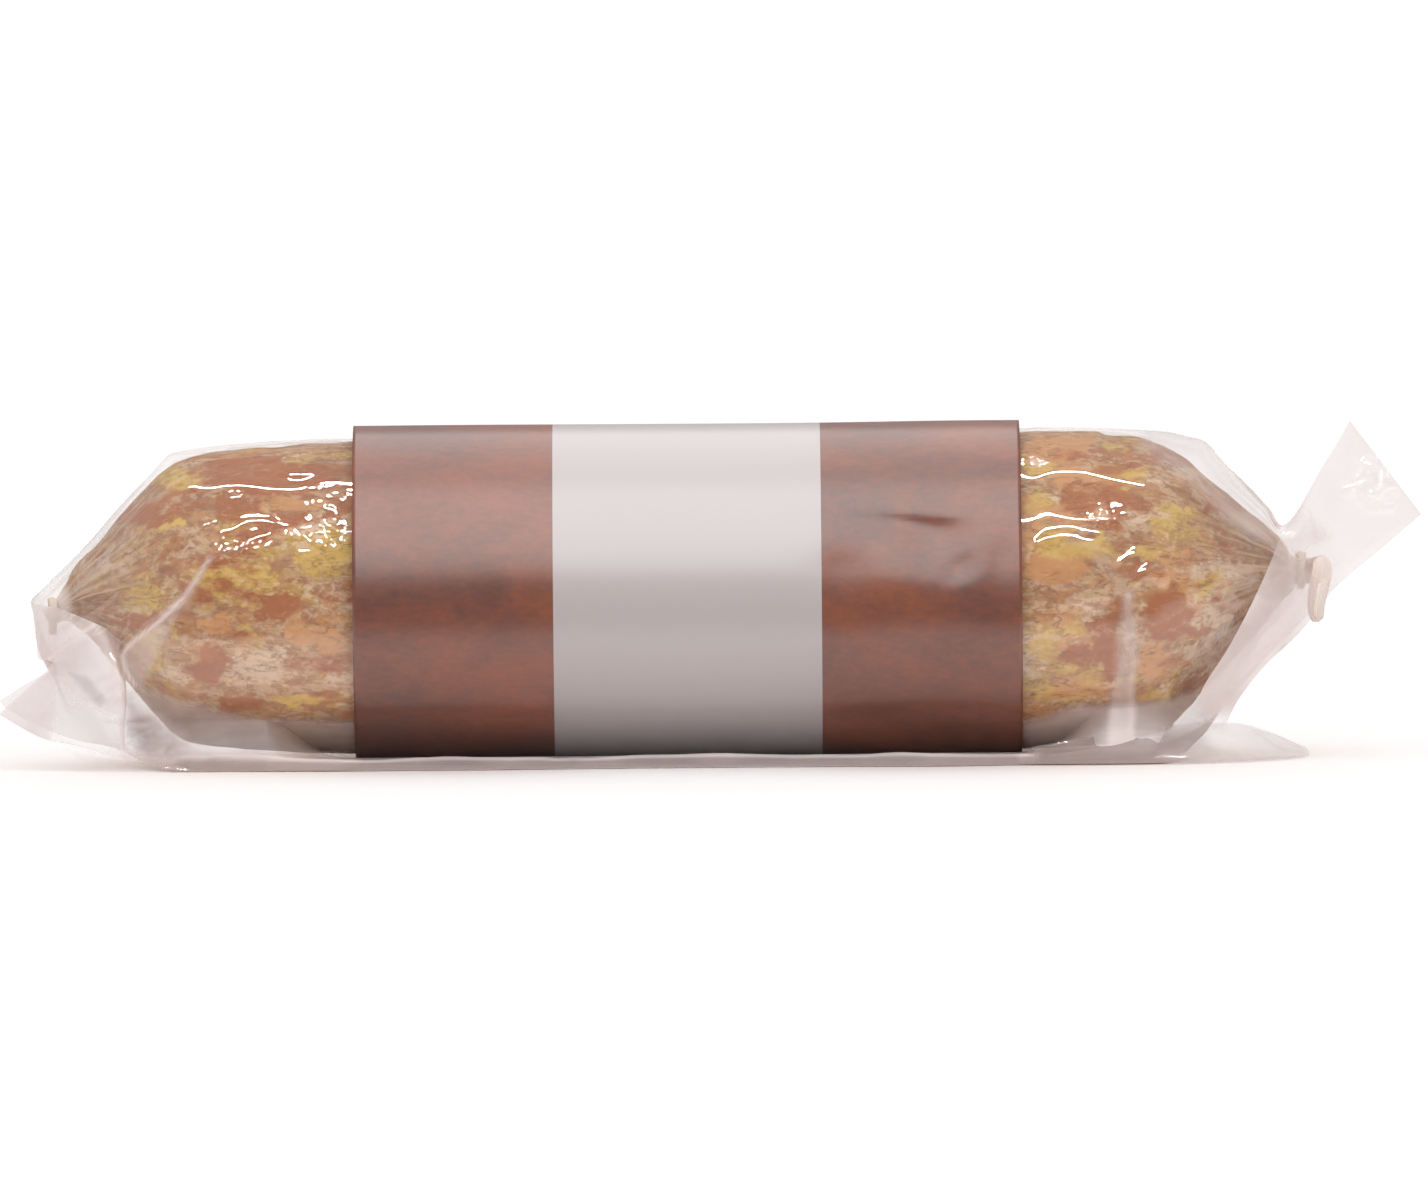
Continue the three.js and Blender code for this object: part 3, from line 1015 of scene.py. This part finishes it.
def crease_height(place):
    """The height of the listed creases at each place on the front."""
    x, y, z = place.T
    height = np.zeros(len(x))
    wander = 0.5 * clouds(np.column_stack([x / 4, z / 4, z * 0]), seed=131, layers=2)
    for tall, wide, *line in CREASES:
        line = curved(line)
        away = near_line(x, z + wander, line)
        past = np.maximum(line[:, 0].min() - x, x - line[:, 0].max())
        fade = 1 - smooth(0, 2.5, past)
        height = np.maximum(height, tall * np.exp(-((away / wide) ** 2)) * fade)
    return height * (y < 0)


def film_angles(share, leave):
    """The angle round the section, and how far it is along the seam's upper and lower layers."""
    front = share / FRONT_SHARE
    under = (share - 1 + UNDER_SHARE) / UNDER_SHARE
    back = np.radians(BACK_AT)
    arc = (share - FRONT_SHARE) / (1 - FRONT_SHARE - UNDER_SHARE)
    angle = np.where(front < 1, math.pi + (leave - math.pi) * front, leave + (back - leave) * arc)
    angle = np.where(under > 0, back + (-math.pi - back) * under, angle)
    return angle, front, under


def lay_seam(place, hung_from, bottom, front, under, lip):
    """Pulls both edges of the film down to the table in front, where they lie together."""
    none = np.zeros(len(bottom))
    sway = 0.9 * clouds(np.column_stack([bottom / 16, none, none]), seed=141, layers=3)
    curl = 0.3 + 0.35 * clouds(np.column_stack([bottom / 9, none, none + 5]), seed=143, layers=3)
    height = RIM_HEIGHT + RIM_CURL * np.clip(curl, 0, 1)
    upper_edge = np.column_stack([bottom, -LIP_DEPTH - sway, height])
    lower_edge = np.column_stack([bottom, -LIP_DEPTH - 0.4 - sway, none + LOWER_LAYER])
    inner = np.clip((front - ROLLED) / (1 - ROLLED), 0, 1)[:, None]
    straight = hung_from * inner + upper_edge * (1 - inner)
    rolled = 1 - smooth(0, ROLLED, front)
    straight[:, 2] -= rolled * (height - RIM_FOOT)
    straight[:, 1] -= rolled * 0.25
    share = lip[:, None]
    place = np.where(front[:, None] < 1, place * (1 - share) + straight * share, place)
    to_under = (np.clip(under, 0, 1) * lip)[:, None]
    return place * (1 - to_under) + lower_edge * to_under


def film_lift(settings, place, ring, spokes, body, tail):
    """How far creases and pleats lift the film."""
    x, z = place[:, 0], place[:, 2]
    warp = clouds(place / 13, seed=71, layers=2)[:, None] * np.array([1.0, 2.2, 2.2])
    long_folds = ridges((place + warp) / np.array([17.0, 3.6, 3.6]), seed=73, layers=2)
    crinkled = smooth(-0.1, 0.5, clouds(place / 15, seed=85, layers=2))
    creases = settings.crinkle / MM * 0.5 * long_folds * crinkled
    creases = np.maximum(creases, crease_height(place))
    fine = ridges(np.column_stack([ring * 5.0, x[:, None] / 22]), seed=97, layers=1)
    pleats = (1 - body) * (0.8 * spokes + 0.2 * fine - 0.45)
    lift = np.maximum(body, 0.4) * creases + pleats
    loose = smooth(0.3, 3.0, np.maximum(BAND_START - x, x - BAND_END))
    resting = 1 - smooth(1.5, 4.0, z)
    return lift * loose * (1 - tail) ** 2 * (1 - 0.9 * resting)


def store_film_looks(mesh, place, front, lip, free, bottom, body, tail, spokes):
    """Stores where the film is hazy, shaded and matt, and where it clings to the casing."""
    x, y, z = place.T
    in_tent = np.clip(1 - front, 0, 1) * lip
    haze = PLAIN_HAZE + END_HAZE * (1 - body) + TAIL_HAZE * tail
    streaks = 0.4 + 0.9 * ridges(np.column_stack([x / 15, y / 2.2, z / 1.3]), seed=149, layers=2) ** 2
    # The tent's haze is partly milky film and partly a painted reflection of the table.
    tent_haze_and_reflection = np.where(x < 0, *TENT_HAZE_AND_REFLECTION) * smooth(0.0, 1.0, 1 - front) * lip
    haze = haze + tent_haze_and_reflection * smooth(-1.0, 5.0, free) * streaks
    sway = 0.35 * clouds(place / 3.0, seed=147, layers=3)
    more, shade = layers(x + sway, z + sway, FOLD_LINES, LAYERED)
    haze = haze + more * (y < 0)
    haze = haze + (1 - body) * (1 - tail) * PLEAT_HAZE * smooth(0.6, 0.95, spokes)
    # The rim is milky, partly as a painted highlight along its curled edge.
    rim = smooth(1 - 1.9 * ROLLED, 1 - 1.1 * ROLLED, in_tent) * smooth(-76, -56, bottom)
    store(mesh, "haze", haze + RIM_HAZE_AND_HIGHLIGHT * rim)
    low = 1 - smooth(7.0, 12.0, z)
    store(mesh, "matt", np.clip(np.maximum.reduce([6 * in_tent, 0.8 * tail, low]), 0, 1))
    store(mesh, "cling", patches(x, y, z, CLINGING))
    shade = shade * (0.7 + 0.4 * streaks) * (y < 0)
    under_rim = RIM_SHADE * smooth(0.9, 0.94, in_tent)
    store(mesh, "shade", np.maximum(shade * (1 - rim), under_rim))


def film_mesh(settings):
    at = film_rows()
    mesh, row, column = spun_grid(len(at), settings.around, FILM_TURN)
    at = at[row]
    section = through(FILM_SECTIONS, at)
    bottom = section[:, 2]
    free = np.maximum(BAND_START - bottom, bottom - BAND_END)
    lip = smooth(*SEAM_STARTS, bottom) * (1 - smooth(*SEAM_ENDS, bottom))
    leave = np.radians(LEAVES_AT - LIFTED_BY * smooth(0.2, STICK_OUT, free) * lip)
    angle, front, under = film_angles(column / settings.around, leave)
    place = lay_seam(film_place(at, angle), film_place(at, leave), bottom, front, under, lip)
    move_vertices(mesh, place)
    face_outwards(mesh, AXIS_HEIGHT)

    ring = np.column_stack([np.cos(angle), np.sin(angle)])
    size = np.hypot(section[:, 0] - section[:, 2], section[:, 1] - section[:, 3]) / 2
    body = smooth(14.0, 20.5, size)  # 0 where the film narrows towards its ends
    tail = 1 - smooth(3.0, 9.0, section[:, 4])
    spokes = ridges(np.column_stack([ring * 3.1, place[:, :1] / 40]), seed=89, layers=2)
    lift = film_lift(settings, place, ring, spokes, body, tail)
    lift = lift * (1 - 0.7 * smooth(0, 0.5, 1 - front) * lip)
    normal = read(mesh.vertex_normals, "vector")
    move_vertices(mesh, place + normal * lift[:, None])
    store_film_looks(mesh, place, front, lip, free, bottom, body, tail, spokes)
    return mesh


# Loose parts of the same film: rows of places that the sheet passes through.
LEFT_FLAP = (
    ((-92.3, -3.5, 22.2), (-91.8, -5.0, 18.0), (-91.5, -6.0, 15.0), (-89.6, -7.6, 14.3),
     (-93.2, -8.2, 10.8), (-96.9, -8.6, 7.6)),
    ((-88.6, -6.0, 21.7), (-88.2, -8.0, 18.6), (-87.5, -9.2, 15.8), (-86.7, -10.2, 13.4),
     (-88.8, -10.6, 8.8), (-91.2, -10.8, 4.5)),
    ((-85.4, -7.6, 20.5), (-84.6, -10.0, 17.4), (-83.9, -11.6, 14.3), (-83.3, -12.6, 11.2),
     (-84.4, -12.8, 7.0), (-86.0, -13.4, 3.4)),
    ((-82.4, -8.6, 19.2), (-81.3, -11.2, 16.2), (-80.6, -12.6, 13.2), (-80.3, -13.4, 10.2),
     (-80.8, -13.8, 6.4), (-82.4, -15.0, 2.4)),
    ((-80.6, -8.8, 17.6), (-79.9, -10.6, 14.8), (-79.5, -12.0, 11.6), (-79.4, -12.8, 8.8),
     (-79.7, -13.4, 5.6), (-79.4, -15.2, 1.8)),
)
LEFT_TOE = (
    ((-90.0, -6.0, 5.6), (-87.0, -9.0, 3.6), (-81.0, -11.4, 2.6), (-73.0, -13.2, 2.6),
     (-64.0, -14.6, 2.8), (-49.2, -16.6, 2.6)),
    ((-89.6, -8.4, 4.8), (-86.6, -12.4, 2.9), (-80.4, -15.6, 1.6), (-72.4, -17.8, 1.2),
     (-62.0, -18.8, 1.2), (-49.0, -19.2, 1.2)),
    ((-88.0, -10.0, 3.8), (-85.4, -14.4, 1.4), (-79.4, -17.6, 0.5), (-71.0, -19.4, 0.3),
     (-61.0, -20.2, 0.3), (-48.8, -20.4, 0.3)),
)
RIGHT_FOLD = (
    ((64.8, -16.2, 5.8), (67.0, -15.8, 4.9), (69.2, -14.8, 4.2)),
    ((66.6, -15.6, 10.4), (69.0, -14.8, 9.2), (71.2, -13.0, 8.2)),
    ((70.2, -13.8, 15.8), (72.6, -13.0, 13.8), (75.0, -10.8, 12.8)),
    ((74.2, -11.2, 23.2), (77.2, -10.6, 20.0), (79.9, -7.6, 17.2)),
    ((77.8, -7.8, 30.8), (81.2, -7.4, 27.0), (85.2, -5.2, 23.4)),
    ((82.4, -5.6, 38.4), (86.4, -6.0, 33.8), (91.0, -4.8, 28.2)),
    ((86.9, -4.6, 45.7), (91.8, -5.2, 39.2), (96.5, -4.6, 32.9)),
)
RIGHT_TOE = (
    ((42.6, -17.6, 2.4), (50.0, -17.2, 3.6), (58.0, -16.2, 4.8), (66.0, -13.6, 5.4),
     (73.0, -8.6, 4.6), (80.9, -1.8, 1.0)),
    ((42.7, -18.6, 1.5), (51.0, -18.6, 2.2), (59.0, -18.0, 2.9), (67.0, -15.6, 3.4),
     (74.2, -10.6, 2.8), (81.1, -3.2, 0.7)),
    ((42.8, -19.6, 0.6), (51.0, -20.0, 0.8), (60.0, -19.8, 0.9), (68.6, -18.0, 0.9),
     (75.6, -13.0, 0.6), (81.1, -5.2, 0.35)),
    ((42.8, -20.2, 0.3), (51.0, -20.9, 0.3), (60.0, -20.8, 0.3), (69.0, -19.2, 0.3),
     (76.0, -14.2, 0.3), (81.0, -6.2, 0.25)),
)
# Each loose sheet: rows, seed, haze at its first and last row, the shares over which the haze comes
# in from the first row and from the sides, then its cut size and area in metres.
LOOSE_SHEETS = (
    ("film_left_flap", LEFT_FLAP, 151, (0.66, 0.7), 0.03, 0.0, (0.018, 0.02), 0.0003),
    ("film_left_toe", LEFT_TOE, 157, (0.22, 0.16), 0.3, 0.05, (0.01, 0.041), 0.00025),
    ("film_right_fold", RIGHT_FOLD, 163, (0.86, 0.12), 0.16, 0.0, (0.014, 0.046), 0.00045),
    ("film_right_toe", RIGHT_TOE, 167, (0.4, 0.4), 0.1, 0.05, (0.01, 0.039), 0.0003),
)
LOOSE_ACROSS, LOOSE_ALONG = 90, 120  # faces across and along each of them
LOOSE_CRINKLE, LOOSE_CURL = 0.3, 1.8  # height of their crinkles, and how far they curl forwards
CURLS = ((89.8, 37.2, 3.4, 2.8),)  # where they curl: place along, height and half sizes


def loose_sheet(rows, seed, hazes, from_first, from_sides):
    """A sheet through rows of places, crinkled inside its edges."""
    rows = np.array(rows)
    mesh, u, v = flat_grid(LOOSE_ACROSS, LOOSE_ALONG)
    over = curve_weights(rows.shape[0], v * (rows.shape[0] - 1))
    side = curve_weights(rows.shape[1], u * (rows.shape[1] - 1))
    place = np.einsum("ni,nj,ijk->nk", over, side, rows)
    move_vertices(mesh, place)
    normal = read(mesh.vertex_normals, "vector")
    from_edge = np.minimum(np.minimum(u, 1 - u), np.minimum(v, 1 - v))
    warp = clouds(place / 9, seed=seed, layers=2)[:, None] * 0.4
    soft = ridges(place / 6.5 + warp, seed=seed + 1, layers=2)
    lift = LOOSE_CRINKLE * (soft - 0.4) * smooth(0, 0.12, from_edge)
    lift = lift * smooth(0.3, 1.5, place[:, 2])
    curl = patches(*place.T, CURLS)
    place = place + normal * lift[:, None]
    place[:, 1] -= LOOSE_CURL * curl * (1 + clouds(place / 1.9, seed=seed + 2, layers=1))
    move_vertices(mesh, place)

    edge = 1 - smooth(0.0, 0.025, from_edge)
    haze = hazes[0] + (hazes[1] - hazes[0]) * smooth(0.42, 0.75, v)
    haze = (haze * (0.92 + 0.2 * smooth(0.5, 1, soft)) + 0.14 * edge) * smooth(-0.02, from_first, v)
    more, shade = layers(place[:, 0], place[:, 2], LOOSE_LINES, LOOSE_LAYERED)
    haze = (haze + more * smooth(0, 0.1, v)) * smooth(-0.01, from_sides, np.minimum(u, 1 - u))
    store(mesh, "haze", haze)
    store(mesh, "shade", shade)
    store(mesh, "matt", 0.7 - 0.7 * curl)
    return mesh


def film_material(settings):
    """Clear in a single layer, milky where there is haze, and glossy except where it is matt."""
    material, tree, surface = new_material("clear film")
    place = add(tree, "TexCoord").outputs["Object"]
    cloudy = noise(tree, place, 90.0, 4.0, 0.5)
    dotted = sums(tree, "MULTIPLY", noise(tree, place, 640.0, 0.0), attribute(tree, "cling"))
    grazing = add(tree, "LayerWeight", Blend=0.5).outputs["Facing"]
    cloudy = sums(tree, "MULTIPLY_ADD", cloudy, 0.8, 0.6)
    share = sums(tree, "MULTIPLY", attribute(tree, "haze"), cloudy)
    share = sums(tree, "MULTIPLY_ADD", sums(tree, "POWER", grazing, 3.0), 0.3, share, clamp=True)
    clear = add(tree, "BsdfTransparent")
    layered = blend(tree, attribute(tree, "shade"), settings.haze, settings.shade)
    milky = add(tree, "BsdfPrincipled", Base_Color=layered)
    milky.inputs["Roughness"].default_value = 0.45
    milky.inputs["Specular IOR Level"].default_value = 0.2
    veil = add(tree, "MixShader", Fac=share)
    tree.links.new(clear.outputs[0], veil.inputs[1])
    tree.links.new(milky.outputs[0], veil.inputs[2])
    dots = add(tree, "Bump", Height=dotted, Strength=1.0, Distance=0.6 * MM).outputs[0]
    shine = add(tree, "BsdfGlossy", Color=(1, 1, 1), Normal=dots)
    shine.inputs["Roughness"].default_value = 0.03
    mirror = sums(tree, "MULTIPLY_ADD", sums(tree, "POWER", grazing, 5.0), 0.3, 0.045)
    glossy = sums(tree, "SUBTRACT", 1.0, attribute(tree, "matt"), clamp=True)
    mirror = sums(tree, "MULTIPLY", mirror, glossy)
    whole = add(tree, "MixShader", Fac=mirror)
    tree.links.new(veil.outputs[0], whole.inputs[1])
    tree.links.new(shine.outputs[0], whole.inputs[2])
    tree.links.new(whole.outputs[0], surface)
    return material


class CURED_OT_film(bpy.types.Operator):
    """Roll the clear film round the sausage"""

    bl_idname = "cured.film"
    bl_label = "Film"

    def execute(self, context):
        settings = context.scene.cured_film
        material = film_material(settings)
        made = piece("clear_film", film_mesh(settings), material, "film", "film_wrap")
        for name, rows, seed, hazes, from_first, from_sides, cut, area in LOOSE_SHEETS:
            mesh = loose_sheet(rows, seed, hazes, from_first, from_sides)
            made = piece(name, mesh, material, "film")
        return {"FINISHED"}


# ------------------------------------------------------------------ paper band

BAND_ROWS, BAND_COLUMNS = 180, 210
BAND_GAP = math.radians(34)  # left open underneath, where the seam lies
BAND_WAVE = 0.12  # height of its gentle waves, to each side
# Dents in the front of the paper, sharp along their upper edge: place and height of that edge,
# half length, how far each reaches down, sharpness, depth and slope.
BAND_DENTS = (
    (27.0, 34.0, 9.0, 9.5, 0.8, 0.55, -0.06),
    (31.0, 32.8, 4.5, 12.5, 1.2, 0.45, -0.06),
    (40.0, 31.5, 3.6, 14.0, 3.0, 0.5, 0.2),
    (33.8, 28.6, 2.0, 4.5, 1.2, 0.25, 0.3),
    (18.0, 29.5, 4.5, 12.0, 2.5, 0.4, 0.0),
    (23.0, 7.6, 5.0, 5.5, 1.0, 0.55, 0.0),
    (33.0, 5.4, 7.0, 4.5, 1.2, 0.3, -0.05),
)
PANEL = (-21.4, 14.9)  # the bare panel, between these places along the band
PRINT_EDGE = 0.05  # the print stops within this distance on each side of the panel's edge


def band_mesh(settings):
    turn = 2 * math.pi - BAND_GAP
    mesh, row, column = spun_grid(BAND_ROWS, BAND_COLUMNS, turn)
    x = BAND_START + (BAND_END - BAND_START) * row / (BAND_ROWS - 1)
    angle = math.pi + BAND_GAP / 2 + turn * column / BAND_COLUMNS
    ring = np.column_stack([np.cos(angle), np.sin(angle)])
    radius = np.full(len(x), BAND_RADIUS - settings.thickness / MM)
    round_about = np.column_stack([ring * 1.3, x[:, None] / 40])
    radius -= BAND_WAVE * (clouds(round_about, seed=101, layers=2) + 0.8)
    y, z = -radius * ring[:, 1], AXIS_HEIGHT + radius * ring[:, 0]
    for along, height, half_length, reach, sharp, depth, slope in BAND_DENTS:
        below = height + slope * (x - along) - z
        dent = smooth(-sharp, sharp, below) * (1 - smooth(sharp, reach, below))
        radius = radius - depth * dent * np.exp(-(((x - along) / half_length) ** 2)) * (y < 0)
    place = np.column_stack([x, -radius * ring[:, 1], AXIS_HEIGHT + radius * ring[:, 0]])
    move_vertices(mesh, place)
    face_outwards(mesh, AXIS_HEIGHT)
    return mesh


def band_material(settings):
    material, tree, surface = new_material("printed paper")
    place = add(tree, "TexCoord").outputs["Object"]
    apart = add(tree, "SeparateXYZ", Vector=place).outputs
    mottled = noise(tree, stretched(tree, place, (1.0, 1.6, 1.6)), 60.0, 8.0, 0.6, 0.4)
    speckled = noise(tree, stretched(tree, place, (0.5, 1.0, 1.0)), 1300.0, 4.0, 0.7)
    print_mix = sums(tree, "MULTIPLY_ADD", speckled, 1.5, -0.75)
    print_mix = sums(tree, "MULTIPLY_ADD", between(tree, mottled, 0.3, 0.72), 0.8, print_mix)
    print_mix = sums(tree, "ADD", print_mix, 0.1, clamp=True)
    brown = blend(tree, print_mix, settings.dark, settings.brown)
    left, right = (
        between(tree, apart[0], (edge - PRINT_EDGE) * MM, (edge + PRINT_EDGE) * MM)
        for edge in PANEL
    )
    in_panel = sums(tree, "SUBTRACT", left, right, clamp=True)
    shown = blend(tree, in_panel, brown, settings.panel)
    bump = add(tree, "Bump", Height=speckled, Strength=0.05, Distance=0.05 * MM)
    shader = add(tree, "BsdfPrincipled", Base_Color=shown, Normal=bump.outputs[0])
    shader.inputs["Roughness"].default_value = 0.3
    shader.inputs["Specular IOR Level"].default_value = 0.62
    tree.links.new(shader.outputs[0], surface)
    return material


class CURED_OT_band(bpy.types.Operator):
    """Wrap the printed paper band round the film"""

    bl_idname = "cured.band"
    bl_label = "Paper band"

    def execute(self, context):
        settings = context.scene.cured_band
        mesh = band_mesh(settings)
        made = piece("printed_band", mesh, band_material(settings), "paper", "paper_band")
        wall = made.modifiers.new("paper", "SOLIDIFY")
        wall.thickness = settings.thickness
        wall.offset = 1
        return {"FINISHED"}


# ------------------------------------------------------------------ stage

ARCH_RADIUS = 0.6  # the lamps hang this many metres from the middle of the table
LAMP_AIM = Vector((0, 0, 0.02))  # in metres
# Lamps: name, degrees above the front horizon, width and depth, power, and words in the names of
# the pieces that each one lights.
LAMPS = (
    ("front softbox", 50, (0.36, 0.72), 3.3, ("printed_band",)),
    ("top softbox", 112, (0.36, 0.7), 1.5, ("printed_band",)),
    ("key", 76, (0.3, 0.3), 1.25, ("casing", "twine")),
    ("front sparkle", 54, (0.36, 0.016), 8.0, ("film",)),
    ("top sparkle", 92, (0.36, 0.016), 8.0, ("film",)),
)
CAMERA_AIM = (0.34, 0, 21.8)  # in millimetres


def floor_material():
    """Pale, as bright as each of the camera, the reflections and the light thrown up need it, with a
    painted shadow under the sausage.
    """
    material, tree, surface = new_material("floor")
    path = add(tree, "LightPath").outputs
    apart = add(tree, "SeparateXYZ", Vector=add(tree, "TexCoord").outputs["Object"]).outputs
    # Under the sausage the floor has a painted shadow, both in the light that it throws up and in
    # reflections of it.
    past_painted_shadow = between(tree, sums(tree, "ABSOLUTE", apart[1]), 0.008, 0.026)
    lit = blend(tree, past_painted_shadow, (0.7, 0.68, 0.68), (1.55, 1.5, 1.49))
    mirrored = blend(tree, past_painted_shadow, (0.9, 0.88, 0.88), (2.9, 2.83, 2.82))
    # Reflections show it dark from 5 to 9 cm in front and on: a painted dark reflection for the paper.
    mirrored = blend(tree, between(tree, apart[1], -0.09, -0.05), (0.1, 0.1, 0.1), mirrored)
    lit = blend(tree, path["Is Glossy Ray"], lit, mirrored)
    lit = blend(tree, path["Is Camera Ray"], lit, (1.5, 1.48, 1.48))
    plain = add(tree, "BsdfDiffuse", Color=lit)
    tree.links.new(plain.outputs[0], surface)
    return material


def flag_material(name, shade):
    """A plain board, for the darker parts of what the paper reflects."""
    material, tree, surface = new_material(name)
    plain = add(tree, "BsdfDiffuse", Color=(shade, shade, shade))
    tree.links.new(plain.outputs[0], surface)
    return material


def stage_plane(name, corner, first, second, material):
    """A plain rectangle from its corner along two directions, in metres."""
    mesh, u, v = flat_grid(1, 1)
    place = np.array(corner) + u[:, None] * np.array(first) + v[:, None] * np.array(second)
    move_vertices(mesh, place / MM)
    mesh.materials.append(material)
    made = bpy.data.objects.new(name, mesh)
    bpy.context.scene.collection.objects.link(made)
    return made


def stand_flags():
    """A dark board in front and a grey one behind, which only reflections show."""
    black = flag_material("black flag", 0.03)
    grey = flag_material("grey flag", 0.5)
    front = stage_plane("front flag", (-1.5, -1.0, 0.03), (3, 0, 0), (0, 0, 0.5), black)
    rear = stage_plane("rear flag", (-1.5, 0.9, 0.05), (3, 0, 0), (0, 0, 1.3), grey)
    for board in (front, rear):
        board.visible_camera = False
        board.visible_diffuse = False
        board.visible_shadow = False
        board.visible_transmission = False


def light_room(scene):
    """White light from all round."""
    world = bpy.data.worlds.new("studio")
    scene.world = world
    world.use_nodes = True
    room = world.node_tree.nodes["Background"]
    room.inputs["Color"].default_value = (1, 1, 1, 1)
    room.inputs["Strength"].default_value = 0.7


def arched_light(name, tilt, size, power):
    """A lamp on an arch over the sausage, at this many degrees above the front horizon."""
    lamp = bpy.data.lights.new(name, "AREA")
    lamp.shape = "RECTANGLE"
    lamp.size, lamp.size_y = size
    lamp.energy = power
    made = bpy.data.objects.new(name, lamp)
    tilt = math.radians(tilt)
    made.location = (0, -ARCH_RADIUS * math.cos(tilt), ARCH_RADIUS * math.sin(tilt))
    made.rotation_euler = (LAMP_AIM - made.location).to_track_quat("-Z", "Y").to_euler()
    bpy.context.scene.collection.objects.link(made)
    return made


def shine_on(lamp, words):
    """Lets a lamp light only the objects that have one of these words in their names."""
    lit = bpy.data.collections.new(lamp.name + " lights")
    lamp.light_linking.receiver_collection = lit
    for made in bpy.context.scene.objects:
        if any(word in made.name for word in words):
            lit.objects.link(made)


def hang_lamps():
    """The key makes no reflections, and the sparkles make nothing else."""
    for name, tilt, size, power, words in LAMPS:
        lamp = arched_light(name, tilt, size, power)
        lamp.visible_glossy = name != "key"
        lamp.visible_diffuse = "sparkle" not in name
        shine_on(lamp, words)


def set_camera(scene, settings):
    tilt = settings.elevation
    back_off = Vector((0, -math.cos(tilt), math.sin(tilt))) * settings.distance
    lens = bpy.data.cameras.new("camera")
    lens.sensor_width = 36
    lens.lens = lens.sensor_width * settings.distance / settings.view_width
    lens.clip_end = 20
    camera = bpy.data.objects.new("camera", lens)
    camera.location = Vector(CAMERA_AIM) * MM + back_off
    turn = (-back_off).to_track_quat("-Z", "Y").to_matrix().to_4x4()
    roll = turn.Rotation(settings.roll, 4, "Z")
    camera.rotation_euler = (turn @ roll).to_euler()
    scene.collection.objects.link(camera)
    scene.camera = camera


class CURED_OT_stage(bpy.types.Operator):
    """Set the floor, the lights and the camera"""

    bl_idname = "cured.stage"
    bl_label = "Stage"

    def execute(self, context):
        scene = context.scene
        scene.view_settings.view_transform = "Standard"
        stage_plane("floor", (-4, -4, 0), (8, 0, 0), (0, 10, 0), floor_material())
        stand_flags()
        light_room(scene)
        hang_lamps()
        set_camera(scene, scene.cured_stage)
        return {"FINISHED"}


# ------------------------------------------------------------------ panel and registration


class CURED_PT_panel(bpy.types.Panel):
    """Lists the steps that build the sausage"""

    bl_label = "Cured sausage"
    bl_space_type = "VIEW_3D"
    bl_region_type = "UI"
    bl_category = "Sausage"

    def draw(self, context):
        for step in STEPS:
            self.layout.operator(step.bl_idname)
        for name in SETTINGS:
            group = getattr(context.scene, name)
            for prop in group.bl_rna.properties:
                if prop.identifier not in ("rna_type", "name"):
                    self.layout.prop(group, prop.identifier)


SETTINGS = {
    "cured_sausage": SausageSettings,
    "cured_film": FilmSettings,
    "cured_band": BandSettings,
    "cured_stage": StageSettings,
}
STEPS = (CURED_OT_sausage, CURED_OT_ties, CURED_OT_film, CURED_OT_band, CURED_OT_stage)


def register():
    for kind in (*SETTINGS.values(), *STEPS, CURED_PT_panel):
        bpy.utils.register_class(kind)
    for name, kind in SETTINGS.items():
        setattr(bpy.types.Scene, name, PointerProperty(type=kind))


def unregister():
    for name in SETTINGS:
        delattr(bpy.types.Scene, name)
    for kind in (CURED_PT_panel, *reversed(STEPS), *reversed(SETTINGS.values())):
        bpy.utils.unregister_class(kind)


def main():
    register()
    bpy.ops.cured.sausage()
    bpy.ops.cured.ties()
    bpy.ops.cured.film()
    bpy.ops.cured.band()
    bpy.ops.cured.stage()


if __name__ == "__main__":
    main()
